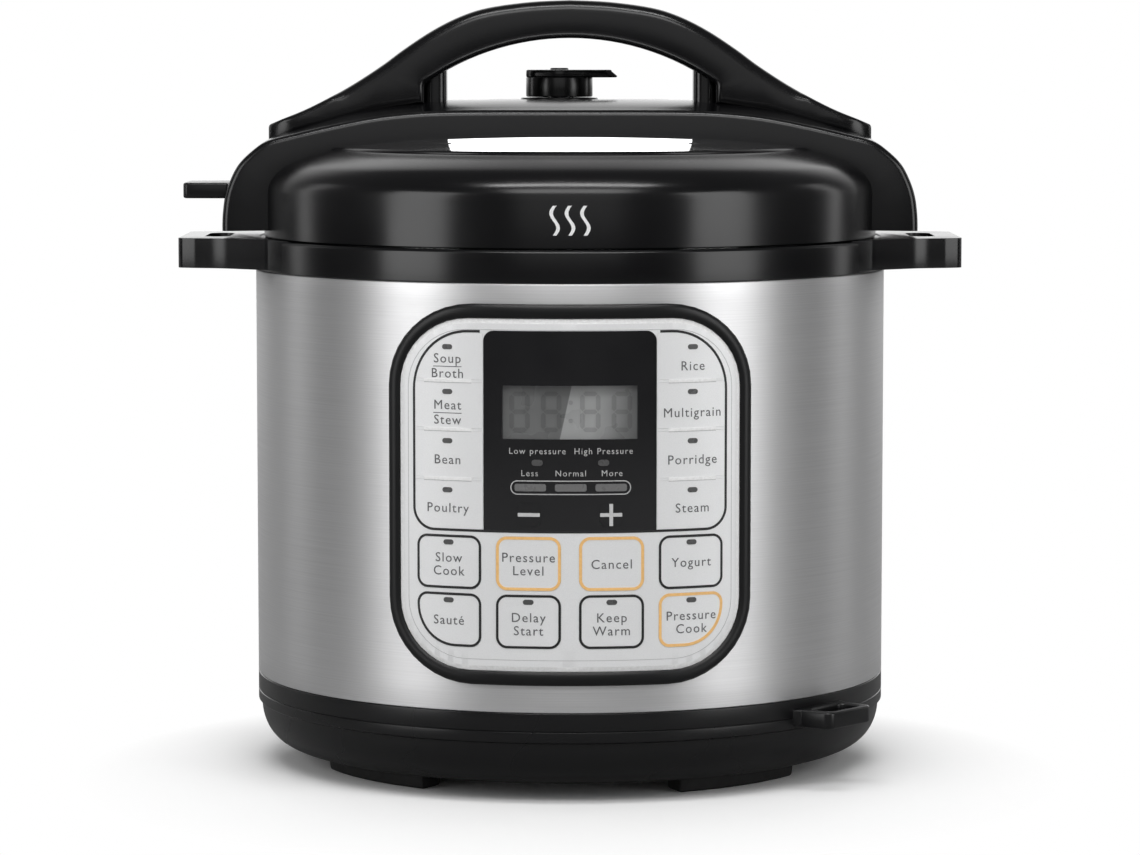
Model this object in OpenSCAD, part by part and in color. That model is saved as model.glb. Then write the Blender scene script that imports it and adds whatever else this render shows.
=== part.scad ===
// Six litre electric pressure cooker, drawn with its lid closed.
// +Z is up, the front panel faces -Y, and the origin is on the body's axis at the floor.

/* [Body] */
// Radius of the steel band
body_r = 136; // [135:0.5:137]
// Height of the band's lower edge
band_z0 = 38.5; // [38:0.5:40]
// Height of the band's upper edge
band_z1 = 213; // [212:0.5:213]
// Thickness of the steel band
band_t = 0.7; // [0.5:0.1:1]
// Wall of the moulded plastic covers
wall = 2.6; // [2:0.1:3]
// Height of the feet
foot_h = 7; // [5:0.5:8]

/* [Side handles] */
// Distance from the axis to the tip of each side handle
handle_tip_x = 167.4; // [160:0.1:170]
// Half width of a side handle at its tip
handle_tip_y = 34; // [28:1:38]
// Half width of a side handle where it leaves the ring
handle_root_y = 52; // [46:1:56]
// Thickness of a side handle
handle_t = 12.7; // [11:0.1:13]

/* [Pots] */
// Inside radius of the inner pot
pot_r = 110; // [108:0.5:110]
// Height of the inner pot's underside
pot_z0 = 55; // [55:0.5:60]
// Height of the inner pot's rim
pot_z1 = 214; // [213.8:0.1:214.2]
// Thickness of the inner pot's layered bottom
pot_bottom_t = 4.5; // [3:0.5:6]
// Inside radius of the outer pot
liner_r = 113.2; // [112.5:0.1:113.5]

/* [Lid] */
// Radius of the lid's cover ring
lid_r = 132.4; // [131:0.1:133]
// Height of the top of the steel lid
dome_z = 270.2; // [269:0.1:271]
// How far the steel lid falls between its centre and the cover ring
dome_drop = 5.3; // [4:0.1:6]
// Height of the top of the arched grip
grip_top_z = 328.3; // [326:0.1:330]
// Depth of the grip, front to back
grip_y = 30; // [24:1:34]
// Depth of the bridge under the grip, front to back
bridge_y = 60; // [54:1:64]
// Number of bayonet lugs
lugs = 6; // [5:1:6]

/* [Panel] */
// Width of the panel's bezel, seen from the front
panel_w = 148.2; // [140:0.2:150]
// Height of the bezel's lower edge
panel_z0 = 50; // [48:0.5:54]
// Height of the bezel's upper edge
panel_z1 = 205; // [200:0.5:207]
// Corner radius of the bezel
panel_corner = 34; // [26:1:38]
// Width of the bezel's band
bezel_w = 5.8; // [5:0.1:7]
// Angle between neighbouring columns of keys
key_pitch = 14.1; // [13.5:0.1:14.5]
// Width of a function key along the panel
key_w = 27; // [25:0.2:28]
// Height of a key in the two lower rows
key_h = 22; // [19:0.2:22.4]
// Gap round a key
key_gap = 0.3; // [0.2:0.05:0.4]

/* [Steam release] */
// Where the knob's axis stands, left to right
knob_x = -4.7; // [-6:0.1:0]
// Where the knob's axis stands, front to back
knob_y = 34; // [33:0.5:36]
// Radius of the knob's body
knob_r = 14.65; // [13:0.05:15]
// Reach of the knob's lever from its axis
lever_reach = 25.5; // [22:0.5:27]

/* [Hidden] */
$fn = 96;
eps = 0.01;
front = -90;

// base
base_z = foot_h;
bowl_r = 118;
bowl_rim_r = body_r - 1.5;
bowl_rim_z = 25;
foot_r0 = 99;
foot_r1 = 113;
foot_angle = 28;
foot_turn = -4.5;
foot_screw_r = 106;
vent_count = 24;
tie_r = 85;
tie_angles = [30, 150, 270];
tie_boss_r = 7;
tie_bolt_r = 2.5;
screw_clearance = 0.1;
inlet_z = 24;
inlet_w = 31;
inlet_h = 22;
inlet_flange_t = 1.4;
inlet_boss_w = 38;
inlet_face_y = body_r - 1;
inlet_pins_at = [[-7, -1.5], [7, -1.5], [0, 2.5]];

// spoon holder
spoon_azimuth = 50;
spoon_z0 = 27.3;
spoon_z1 = 34.4;
spoon_reach = 17;

// top ring
ring_z1 = 226.5;
ring_wall = 3;
handle_z1 = 227;
handle_z0 = handle_z1 - handle_t;
slot_x = 152;
slot_w = 10.8;
slot_l = 36;

// outer pot
liner_t = 0.8;
liner_z0 = 38;
liner_bottom_t = 1.2;
flare_z = 211.4;
collar_r = 127;
collar_z = 223.5;
lug_angle = 27;
lug_h = 2.5;

// heater, elastic plate and sensor
heater_r = 100;
heater_z0 = 46;
sensor_r = 14.5;
sensor_hole_r = 15.5;
element_r = 75;
element_wire = 3.5;
element_ends = [-110, -70];
element_end_r = 2.6;
elastic_z = 28.5;
elastic_t = 1.5;

// lid
lid_z0 = 227.2;
pan_t = 1.2;
pan_wall_r = 105.5;
pan_skirt_r = 120.6;
pan_ledge_z = 233.5;
pan_z0 = 216.5;
dome_r = 103.5;
dome_R = dome_r * dome_r / (2 * dome_drop) + dome_drop / 2;
lid_gap = 0.1;
seal_r0 = 108;
seal_r1 = 119.1;
seal_z1 = 231.8;
bridge_top = 285.5;
pad_z = 285;
ear_x = 150;
ear_z = 229.5;
fin_x = 166.5;
fin_z0 = 243.3;

// lid and handle screws
lid_screw_z = 240;
lid_screw_r = 1.5;
handle_screw_x = 95;
handle_screw_r = 2;

// steam release
pipe_r = 4;
pipe_bore = 1.7;
pipe_top = 290;
float_x = 26;
float_y = 36;
float_r = 3;

// panel
panel_mid_z = (panel_z0 + panel_z1) / 2;
panel_h = panel_z1 - panel_z0;
plate_r0 = body_r + 0.2;
plate_r1 = body_r + 1.8;
bezel_r1 = body_r + 2.8;
window_w = 70.2;
window_z0 = 113.7;
window_z1 = 194.3;
board_r0 = 128;
board_r1 = 129.6;
switch_r1 = plate_r0 - 2.2;
column_z = [[174.4, 193.4], [155, 173], [135.2, 153.6], [113.4, 133.8]];
row_z = [99.9, 76.2];
corner_margin = 2.4;
opening_half_w = 64;
opening_h = 139;
adjust_w = 9.4;
adjust_z = 119.8;
adjust_x = 16.6;

// condensation cup and its bay
bay_w = 66;
bay_z0 = 156;
bay_z1 = 209;
bay_y0 = 118;
bay_wall = 1.6;
cup_w = 60;
cup_z0 = 158;
cup_z1 = 206;
cup_y0 = 120.5;
cup_y1 = 141;

menu_left = ["key_soup", "key_meat_stew", "key_beans", "key_poultry"];
menu_right = ["key_rice", "key_multigrain", "key_porridge", "key_steam"];
upper_row = ["key_slow_cook", "key_pressure_level", "key_cancel", "key_yogurt"];
lower_row = ["key_saute", "key_delay_start", "key_keep_warm", "key_pressure_cook"];

// A ring of rectangular section, or a sector of one from polar angle a0 over a degrees
module ring(r0, r1, z0, z1, a0 = 0, a = 360)
    rotate([0, 0, a0])
        rotate_extrude(angle = a)
            translate([r0, z0]) square([r1 - r0, z1 - z0]);

// A rectangle with round corners, centred
module rounded(w, h, r) {
    square([w - 2 * r, h], center = true);
    square([w, h - 2 * r], center = true);
    for (x = [-1, 1], y = [-1, 1])
        translate([x * (w / 2 - r), y * (h / 2 - r)]) circle(r);
}

// Raises an outline, drawn as seen from the front, and points it forwards at an azimuth and height
module facing(azimuth, z, reach)
    rotate([0, 0, azimuth])
        translate([0, 0, z])
            rotate([90, 0, 0]) linear_extrude(reach) children();

// The part of a thick round shell that an outline covers
module on_shell(r0, r1, azimuth, z)
    intersection() {
        ring(r0, r1, 0, 260);
        facing(azimuth, z, 200) children();
    }

// A closed helical spring of round wire
module coil(r, wire, turns, z0, z1, sides = 6, steps = 14) {
    count = turns * steps;
    points = [
        for (i = [0:count], j = [0:sides - 1])
            let (a = 360 * i / steps, b = 360 * j / sides, d = r + wire * cos(b))
                [d * cos(a), d * sin(a), z0 + (z1 - z0) * i / count + wire * sin(b)]
    ];
    sweep = [
        for (i = [0:count - 1], j = [0:sides - 1])
            let (k = (j + 1) % sides, p = i * sides, q = p + sides) [p + j, q + j, q + k, p + k]
    ];
    ends = [[for (j = [0:sides - 1]) j], [for (j = [sides - 1:-1:0]) count * sides + j]];
    polyhedron(points, concat(sweep, ends));
}

// Half of the base shell's outline, from the axis to the band
function bowl(t) = [
    for (a = [90:-7.5:0])
        [bowl_r + (bowl_rim_r - bowl_r) * pow(cos(a), 0.85) - t,
         bowl_rim_z - (bowl_rim_z - base_z - t) * sin(a)]
];

module base_shell() color("#1c1c1e") difference() {
    union() {
        rotate_extrude() polygon(concat(
            [[0, base_z]], bowl(0),
            [[body_r, bowl_rim_z + 1], [body_r, band_z0], [body_r - band_t - 0.1, band_z0],
             [body_r - band_t - 0.1, band_z0 + 5], [body_r - wall - 1, band_z0 + 5],
             [body_r - wall - 1, bowl_rim_z]],
            [for (p = [len(bowl(wall)) - 1:-1:0]) bowl(wall)[p]],
            [[0, base_z + wall]]));
        intersection() {
            translate([-inlet_boss_w / 2, bowl_r, base_z + 3])
                cube([inlet_boss_w, 30, band_z0 - base_z - 3]);
            cylinder(r = body_r, h = band_z0);
        }
        for (a = tie_angles) rotate([0, 0, a])
            translate([tie_r, 0, base_z]) cylinder(r = tie_boss_r, h = liner_z0 - base_z);
        for (x = [-44, 44], y = [56, 92]) translate([x, y, base_z]) cylinder(r = 3, h = 7, $fn = 24);
    }
    translate([-inlet_w / 2 - 0.1, inlet_face_y - inlet_flange_t, inlet_z - inlet_h / 2 - 0.1])
        cube([inlet_w + 0.2, 10, inlet_h + 0.2]);
    translate([-13.6, 100, inlet_z - 9.6]) cube([27.2, 40, 19.2]);
    for (i = [0:vent_count - 1]) rotate([0, 0, i * 360 / vent_count])
        translate([52, -1.6, 0]) cube([18, 3.2, base_z + wall + 1]);
    for (a = tie_angles) rotate([0, 0, a]) translate([tie_r, 0, 0]) {
        cylinder(r = tie_bolt_r + screw_clearance, h = 60, $fn = 32);
        cylinder(r = 5.3, h = base_z + 3, $fn = 32);
    }
    for (i = [0:3]) rotate([0, 0, 45 + foot_turn + 90 * i])
        translate([foot_screw_r, 0, 0]) cylinder(r = 1.6, h = 20, $fn = 32);
}

module base_feet() color("#101011") difference() {
    for (i = [0:3])
        ring(foot_r0, foot_r1, 0, foot_h, 45 + foot_turn + 90 * i - foot_angle / 2, foot_angle);
    for (i = [0:3]) rotate([0, 0, 45 + foot_turn + 90 * i]) translate([foot_screw_r, 0, -1]) {
        cylinder(r = 2, h = 20, $fn = 32);
        cylinder(r = 4, h = 1 + foot_h / 2, $fn = 32);
    }
}

module foot_screws() color("#9a9a9e")
    for (i = [0:3]) rotate([0, 0, 45 + foot_turn + 90 * i]) translate([foot_screw_r, 0, 0]) {
        translate([0, 0, foot_h / 2 - 2]) cylinder(r = 3.6, h = 2, $fn = 32);
        translate([0, 0, foot_h / 2]) cylinder(r = 1.6, h = foot_h / 2 + wall, $fn = 32);
    }

module tie_bolts() color("#b8b8bc")
    for (a = tie_angles) rotate([0, 0, a]) translate([tie_r, 0, 0]) {
        translate([0, 0, base_z + 0.2]) cylinder(r = 4.8, h = 2.8, $fn = 32);
        translate([0, 0, base_z + 3]) cylinder(r = tie_bolt_r, h = 34.5, $fn = 32);
        translate([0, 0, liner_z0 + liner_bottom_t]) cylinder(r = 4.6, h = 3, $fn = 6);
    }

module body_band() color("#c4c5c8") difference() {
    ring(body_r - band_t, body_r, band_z0, band_z1);
    facing(0, panel_mid_z, 200) square([2 * opening_half_w, opening_h], center = true);
    translate([-bay_w / 2 - 0.2, 100, bay_z0 - 0.2]) cube([bay_w + 0.4, 60, bay_z1 - bay_z0 + 0.4]);
}

// One side handle seen from above, drawn for +X, with its edges moved in by t
module handle_plan(t = 0)
    polygon([[110, -handle_root_y - 6 + t], [126, -handle_root_y + t],
             [handle_tip_x - 7, -handle_tip_y - 2 + t], [handle_tip_x - 2, -handle_tip_y + 2 + t],
             [handle_tip_x - t, -handle_tip_y + 8 + t], [handle_tip_x - t, handle_tip_y - 8 - t],
             [handle_tip_x - 2, handle_tip_y - 2 - t], [handle_tip_x - 7, handle_tip_y + 2 - t],
             [126, handle_root_y - t], [110, handle_root_y + 6 - t]]);

module slot_plan(t = 0)
    translate([slot_x, 0]) rounded(slot_w + 2 * t, slot_l + 2 * t, slot_w / 2 + t - 0.5);

module top_ring() color("#1c1c1e") difference() {
    union() {
        ring(body_r - ring_wall, body_r, band_z1, ring_z1);
        ring(body_r - 7, body_r, collar_z + 0.1, ring_z1);
        ring(body_r - 4, body_r - band_t - 0.1, band_z1 - 3, band_z1 + eps);
        for (side = [0, 180]) rotate([0, 0, side]) difference() {
            translate([0, 0, handle_z0]) linear_extrude(handle_t) handle_plan();
            translate([0, 0, handle_z0 - 1]) linear_extrude(handle_t + 1 - ring_wall)
                difference() {
                    handle_plan(ring_wall);
                    slot_plan(wall);
                    circle(body_r + ring_wall);
                }
        }
    }
    for (side = [0, 180]) rotate([0, 0, side])
        translate([0, 0, handle_z0 - 1]) linear_extrude(handle_t + 2) slot_plan();
    cylinder(r = body_r - 7, h = 300);
    cylinder(r = body_r - ring_wall, h = collar_z + 0.1 - eps);
    translate([0, 0, ring_z1]) cylinder(r = body_r, h = 5);
}

module spoon_holder() color("#1c1c1e") rotate([0, 0, spoon_azimuth]) difference() {
    translate([0, -body_r - spoon_reach / 2 + 1, spoon_z0])
        linear_extrude(spoon_z1 - spoon_z0) difference() {
            rounded(30, spoon_reach + 4, 4);
            translate([0, -2]) rounded(22, 11, 3);
        }
    cylinder(r = body_r, h = 60);
}

module panel_outline(t = 0) rounded(panel_w - 2 * t, panel_h - 2 * t, panel_corner - t);

module panel_frame() color("#161618") {
    on_shell(body_r, bezel_r1, 0, panel_mid_z) difference() {
        panel_outline();
        panel_outline(bezel_w);
    }
    on_shell(body_r - 4.5, body_r + eps, 0, panel_mid_z) difference() {
        square([2 * opening_half_w - 0.2, opening_h - 0.2], center = true);
        square([2 * opening_half_w - 3, opening_h - 3], center = true);
    }
    for (a = [-28.3, 28.3], z = [66, 189]) rotate([0, 0, a])
        translate([0, 0, z]) rotate([90, 0, 0])
            translate([0, 0, board_r1]) cylinder(r = 2.5, h = 4, $fn = 32);
}

// Where each function key stands: azimuth, middle height, width and height
function menu_key(side, i) = [
    side * 1.5 * key_pitch, (column_z[i][0] + column_z[i][1]) / 2, key_w, column_z[i][1] - column_z[i][0]
];
function row_key(row, i) = [(i - 1.5) * key_pitch, row_z[row], key_w, key_h];
function adjust_key(side) = [asin(side * adjust_x / plate_r1), adjust_z, adjust_w, adjust_w];
plate_keys = concat(
    [for (i = [0:3]) menu_key(-1, i)], [for (i = [0:3]) menu_key(1, i)],
    [for (i = [0:3]) row_key(0, i)], [for (i = [0:3]) row_key(1, i)]);
window_keys = [adjust_key(-1), adjust_key(1)];

// Keys in the corners follow the bezel's curve, a little way inside it
module inside_bezel(t) facing(0, panel_mid_z, 200) panel_outline(bezel_w + t);

module key_hole(k) intersection() {
    facing(k[0], k[1], 200) rounded(k[2] + 2 * key_gap, k[3] + 2 * key_gap, 3.2);
    inside_bezel(corner_margin - key_gap);
}

module control_panel() color("#a9abae") difference() {
    on_shell(plate_r0, plate_r1, 0, panel_mid_z) panel_outline(bezel_w + 0.1);
    for (k = plate_keys) key_hole(k);
    facing(0, (window_z0 + window_z1) / 2, 200)
        square([window_w + 0.2, window_z1 - window_z0 + 0.2], center = true);
}

module display_window() color("#0b0b0d") difference() {
    on_shell(plate_r0, plate_r1, 0, (window_z0 + window_z1) / 2)
        square([window_w, window_z1 - window_z0], center = true);
    for (k = window_keys) key_hole(k);
}

module lcd_module() color("#3c4038") translate([-28, -133, 148.5]) cube([56, 3.3, 25]);

module control_board() color("#1f5a38") {
    ring(board_r0, board_r1, 62, 194, front - 29.5, 59);
}

module key_switches() color("#d8d8da")
    for (k = concat(plate_keys, window_keys))
        rotate([0, 0, k[0]]) translate([0, 0, k[1]]) rotate([90, 0, 0])
            translate([0, 0, board_r1]) cylinder(r = 3, h = switch_r1 - board_r1, $fn = 32);

// A key: its cap in the panel and the flange that holds it in from behind
module key(k, colour) color(colour) {
    intersection() {
        on_shell(plate_r0 - 0.2, plate_r1 + 0.2, k[0], k[1]) rounded(k[2], k[3], 3);
        inside_bezel(corner_margin);
    }
    intersection() {
        on_shell(plate_r0 - 1.6, plate_r0 - 0.2 + eps, k[0], k[1]) rounded(k[2] + 0.8, k[3] + 0.5, 3);
        inside_bezel(corner_margin - 0.4);
    }
}

module power_board() color("#2c6a44") {
    translate([-50, 52, 14]) cube([100, 46, 1.6]);
    translate([-40, 60, 15.6]) cube([26, 22, 17]);
    translate([-6, 62, 15.6]) cube([19, 15, 15]);
    for (x = [24, 38]) translate([x, 70, 15.6]) cylinder(r = 6, h = 14, $fn = 48);
    translate([-30, 86, 15.6]) cube([50, 8, 9]);
}

module power_inlet() color("#141416") difference() {
    union() {
        translate([-13.5, 117, inlet_z - 9.5]) cube([27, inlet_face_y - inlet_flange_t - 117 + eps, 19]);
        translate([-inlet_w / 2, inlet_face_y - inlet_flange_t, inlet_z - inlet_h / 2])
            cube([inlet_w, inlet_flange_t, inlet_h]);
    }
    translate([0, 140, inlet_z]) rotate([90, 0, 0]) linear_extrude(20)
        polygon([[-12, -8], [12, -8], [12, 4], [8, 8], [-8, 8], [-12, 4]]);
    for (p = inlet_pins_at)
        translate([p[0] - 1, 110, inlet_z + p[1] - 2]) cube([2, 20, 4]);
}

module inlet_pins() color("#c9a85a")
    for (p = inlet_pins_at)
        translate([p[0] - 1, 112, inlet_z + p[1] - 2]) cube([2, 18, 4]);

module outer_pot() color("#b9bbbe") difference() {
    union() {
        rotate_extrude() polygon([
            [0, liner_z0], [liner_r + liner_t, liner_z0], [liner_r + liner_t, flare_z - liner_t],
            [collar_r + 1, flare_z - liner_t], [collar_r + 1, collar_z - 1], [body_r - 5, collar_z - 1],
            [body_r - 5, collar_z], [collar_r, collar_z], [collar_r, flare_z], [liner_r, flare_z],
            [liner_r, liner_z0 + liner_bottom_t], [0, liner_z0 + liner_bottom_t]]);
        for (i = [0:lugs - 1])
            ring(collar_r - lug_h, collar_r + 0.5, collar_z - 0.3 - lug_h, collar_z - 0.3,
                 i * 360 / lugs - lug_angle / 2, lug_angle);
    }
    cylinder(r = 22, h = 100);
    for (a = tie_angles) rotate([0, 0, a])
        translate([tie_r, 0, 0]) cylinder(r = tie_bolt_r + screw_clearance, h = 60, $fn = 32);
    for (a = element_ends) rotate([0, 0, a])
        translate([element_r, 0, 0]) cylinder(r = 4, h = 60, $fn = 32);
}

module heater_plate() color("#a6a7a9") difference() {
    union() {
        rotate_extrude() polygon([
            [sensor_hole_r, heater_z0], [heater_r - 4, heater_z0], [heater_r, heater_z0 + 4],
            [heater_r, pot_z0 - 1], [heater_r - 1, pot_z0], [sensor_hole_r, pot_z0]]);
        for (a = [90, 210, 330]) rotate([0, 0, a])
            translate([50, 0, liner_z0 + liner_bottom_t])
                cylinder(r = 6, h = heater_z0 - liner_z0 - liner_bottom_t + 1);
    }
    rotate_extrude() translate([element_r, heater_z0]) circle(element_wire + 0.15);
}

module heating_element() color("#7d7f82") {
    rotate([0, 0, element_ends[1]]) rotate_extrude(angle = 320)
        translate([element_r, heater_z0]) circle(element_wire);
    for (a = element_ends) rotate([0, 0, a])
        translate([element_r, 0, 30]) cylinder(r = element_end_r, h = heater_z0 - 30, $fn = 32);
}

module elastic_plate() color("#8f9194") difference() {
    union() {
        translate([-66, -20, elastic_z]) cube([132, 40, elastic_t]);
        for (x = [-60, 60]) translate([x, 0, elastic_z]) cylinder(r = 5, h = liner_z0 - elastic_z);
    }
    cylinder(r = 7, h = 60);
}

module pressure_switch() color("#d9d4c8") {
    translate([20, -8, base_z + wall]) cube([24, 16, 17]);
    translate([32, 0, base_z + wall + 17]) cylinder(r = 3, h = elastic_z - base_z - wall - 17, $fn = 32);
}

module thermal_fuse() color("#e3e3e0") {
    translate([-6, -50, 31.5]) cube([12, 10, liner_z0 - 31.5]);
    translate([-14, -45, 34.7]) rotate([0, 90, 0]) cylinder(r = 2, h = 28, $fn = 32);
}

module sensor_spring() color("#8a8c90")
    coil(9, 0.7, 6, elastic_z + elastic_t + 0.7, heater_z0 - 3.3);

module temperature_sensor() color("#c7c8ca") {
    cylinder_z = heater_z0 - 2.5;
    ring(0, sensor_r, heater_z0 - 0.4, pot_z0);
    ring(0, 17.5, cylinder_z, heater_z0 - 0.4);
    ring(0, pipe_r, elastic_z - 3, cylinder_z);
}

// The room inside the bay, from a depth outwards
module bay_space(y0)
    translate([-bay_w / 2 + bay_wall, y0, bay_z0 + bay_wall])
        cube([bay_w - 2 * bay_wall, 60, bay_z1 - bay_z0 - 2 * bay_wall]);

module cup_bay() color("#1c1c1e") {
    difference() {
        union() {
            translate([-bay_w / 2, bay_y0, bay_z0]) cube([bay_w, body_r - bay_y0 - 1, bay_z1 - bay_z0]);
            on_shell(body_r, body_r + 1.2, 180, 182) rounded(bay_w + 6, 60, 5);
        }
        bay_space(bay_y0 + bay_wall);
    }
    difference() {
        on_shell(body_r - 4, body_r + eps, 180, (bay_z0 + bay_z1) / 2)
            square([bay_w, bay_z1 - bay_z0], center = true);
        bay_space(100);
    }
}

module condensation_cup() color("#c8cdd2", 0.6) difference() {
    intersection() {
        translate([-cup_w / 2, cup_y0, cup_z0]) cube([cup_w, 30, cup_z1 - cup_z0]);
        cylinder(r = cup_y1, h = 260);
    }
    intersection() {
        translate([-cup_w / 2 + 2, cup_y0 + 2, cup_z0 + 2]) cube([cup_w - 4, 30, 60]);
        cylinder(r = cup_y1 - 2, h = 260);
    }
}

module inner_pot() color("#d0d1d3") rotate_extrude() polygon(concat(
    [[0, pot_z0]],
    [for (a = [-90:15:0]) [pot_r + 0.8 - 13 + 13 * cos(a), pot_z0 + 13 + 13 * sin(a)]],
    [[pot_r + 0.8, pot_z1 - 1.2], [pot_r + 8.5, pot_z1 - 1.2], [pot_r + 8.5, pot_z1], [pot_r, pot_z1]],
    [for (a = [0:-15:-90]) [pot_r - 12 + 12 * cos(a), pot_z0 + pot_bottom_t + 12 + 12 * sin(a)]],
    [[0, pot_z0 + pot_bottom_t]]));

module sealing_ring() color("#d9dad6") difference() {
    ring(seal_r0, seal_r1, pot_z1, seal_z1);
    ring(seal_r0 - 1, seal_r0 + 5.8, 221.4, 223.8);
    ring(seal_r0 - 1, seal_r0 + 3, pot_z1 - 1, pot_z1 + 4);
}

module seal_rack() color("#c2c3c6") difference() {
    union() {
        ring(seal_r0 - 2, seal_r0 - 0.6, 217, pan_ledge_z - pan_t);
        ring(seal_r0 - 2, seal_r0 + 5.2, 222, 223.2);
    }
    for (i = [0:11]) rotate([0, 0, 30 * i]) translate([90, -6, 225]) cube([25, 12, 5]);
}

// Height of the steel lid's outer surface at a distance from the axis
function dome(r) = dome_z - dome_R + sqrt(dome_R * dome_R - r * r);

module lid_pan() color("#c8c9cc") difference() {
    union() {
        rotate_extrude() polygon(concat(
            [for (r = [0:8.625:dome_r]) [r, dome(r)]],
            [[pan_wall_r, dome(dome_r) - 2], [pan_wall_r, pan_ledge_z + 1.5],
             [pan_wall_r + 1.5, pan_ledge_z], [pan_skirt_r - 1.5, pan_ledge_z],
             [pan_skirt_r, pan_ledge_z - 1.5], [pan_skirt_r, pan_z0 + lug_h],
             [pan_skirt_r + 1, pan_z0 + lug_h], [pan_skirt_r + 1, pan_z0],
             [pan_skirt_r - pan_t, pan_z0], [pan_skirt_r - pan_t, pan_ledge_z - 2],
             [pan_skirt_r - 2, pan_ledge_z - pan_t], [pan_wall_r + 1, pan_ledge_z - pan_t],
             [pan_wall_r - pan_t, pan_ledge_z + 1], [pan_wall_r - pan_t, dome(dome_r) - 2.5]],
            [for (r = [dome_r:-8.625:0]) [r * 0.993, dome(r) - pan_t]]));
        for (i = [0:lugs - 1])
            ring(pan_skirt_r + 0.4, collar_r - lug_h - 0.3, pan_z0 + 0.2, pan_z0 + lug_h - 0.2,
                 i * 360 / lugs - lug_angle / 2, lug_angle);
    }
    translate([knob_x, knob_y, 240]) cylinder(r = pipe_r + 0.05, h = 50);
    translate([float_x, float_y, 240]) cylinder(r = float_r + 0.2, h = 50);
}

// The cover ring's outer surface, from its lower edge to its lip on the steel lid
ring_curve = [[lid_r, 247], [lid_r - 0.9, 250.2], [lid_r - 3.6, 253.6], [lid_r - 8.7, 258],
              [lid_r - 17.4, 261.5], [106, 264]];
lip_r = 105.3;
lip_z = dome_z - 4.7;

module lid_screw_holes()
    for (a = [0, 180]) rotate([0, 0, a])
        translate([lid_r - 10, 0, lid_screw_z]) rotate([0, 90, 0])
            cylinder(r = lid_screw_r + screw_clearance, h = 17, $fn = 32);

module lid_ring() color("#1c1c1e") difference() {
    rotate_extrude() polygon(concat(
        [[lid_r - wall, lid_z0], [lid_r, lid_z0]], ring_curve,
        [[lip_r, lip_z], [dome_r, lip_z], [dome_r, dome(dome_r) + lid_gap],
         [pan_wall_r + 0.4, dome(dome_r) + lid_gap], [pan_wall_r + 0.4, 260], [lid_r - 17.6, 258.6],
         [lid_r - 10, 255.4], [lid_r - 5.4, 251.5], [lid_r - wall, 246]]));
    lid_screw_holes();
}

// Everything under the lid's outer surface, which the bridge is cut to sit on
module lid_envelope() rotate_extrude() polygon(concat(
    [[0, 200], [lid_r + lid_gap, 200], [lid_r + lid_gap, 247]],
    [for (p = ring_curve) [p[0] + lid_gap / 2, p[1] + lid_gap]],
    [[lip_r, lip_z + lid_gap], [dome_r - lid_gap, lip_z + lid_gap]],
    [for (r = [dome_r - lid_gap:-8.6:0]) [r, dome(r) + lid_gap]], [[0, dome_z + lid_gap]]));

// The bridge seen from the front, with its outer edges moved in by t
module bridge_front(t = 0)
    polygon(concat(
        [for (s = [-1, 1]) for (p = s < 0
            ? [[-ear_x + t, ear_z], [-149.8 + t, 238], [-148.8 + t, 244.6], [-146.5 + t, 251.2 - t / 2],
               [-142.6 + t * 0.8, 258.4 - t * 0.8], [-135.9 + t / 2, 264.4 - t], [-129, 269 - t],
               [-66, 283 - t], [-60, bridge_top - t]]
            : [[60, bridge_top - t], [66, 283 - t], [129, 269 - t], [135.9 - t / 2, 264.4 - t],
               [142.6 - t * 0.8, 258.4 - t * 0.8], [146.5 - t, 251.2 - t / 2], [148.8 - t, 244.6],
               [149.8 - t, 238], [ear_x - t, ear_z]]) p]));

// The bridge seen from the side
module bridge_side(t = 0)
    polygon([[-bridge_y / 2 + t, 220], [bridge_y / 2 - t, 220], [bridge_y / 2 - t, 278 - t],
             [bridge_y / 2 - 2.5 - t, 280.6 - t], [grip_y / 2 + 1, bridge_top - t],
             [-grip_y / 2 - 1, bridge_top - t], [-bridge_y / 2 + 2.5 + t, 280.6 - t],
             [-bridge_y / 2 + t, 278 - t]]);

module bridge_solid(t = 0) {
    intersection() {
        translate([0, 100, 0]) rotate([90, 0, 0]) linear_extrude(200) bridge_front(t);
        rotate([90, 0, 90]) translate([0, 0, -160]) linear_extrude(320) bridge_side(t);
    }
    translate([4, 33, 240 - t]) linear_extrude(pad_z - 240) rounded(80 - 2 * t, 46 - 2 * t, 12 - t);
}

module handle_bridge() color("#1c1c1e") difference() {
    union() {
        difference() {
            bridge_solid();
            difference() {
                bridge_solid(wall);
                for (x = [knob_x, float_x])
                    translate([x, x == knob_x ? knob_y : float_y, 200])
                        cylinder(r = x == knob_x ? 12 : 7, h = 100);
            }
        }
        translate([knob_x, knob_y, pad_z - eps]) cylinder(r = 17, h = 1);
    }
    lid_envelope();
    translate([knob_x, knob_y, 200]) cylinder(r = 9, h = 100);
    translate([float_x, float_y, 200]) cylinder(r = 4.5, h = 100);
    for (x = [-handle_screw_x, handle_screw_x])
        translate([x, 0, 200]) cylinder(r = handle_screw_r + screw_clearance, h = 100, $fn = 32);
    lid_screw_holes();
}

// The grip's outline above the bridge, half of it
grip_half = [[0, grip_top_z], [16.8, 327.5], [35.1, 325], [47.3, 321.2], [59.4, 315.1],
             [71.6, 306.6], [81.4, 299.9], [96, 290.8], [115.5, 280.5], [128, 275.8],
             [130.1, 273.5], [130.1, 269.4], [129, 269], [66, 283], [60, bridge_top]];
opening_x = 53.3;
opening_R = 109.5;
function arch(x) = 312 - opening_R + sqrt(opening_R * opening_R - x * x);

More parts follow.
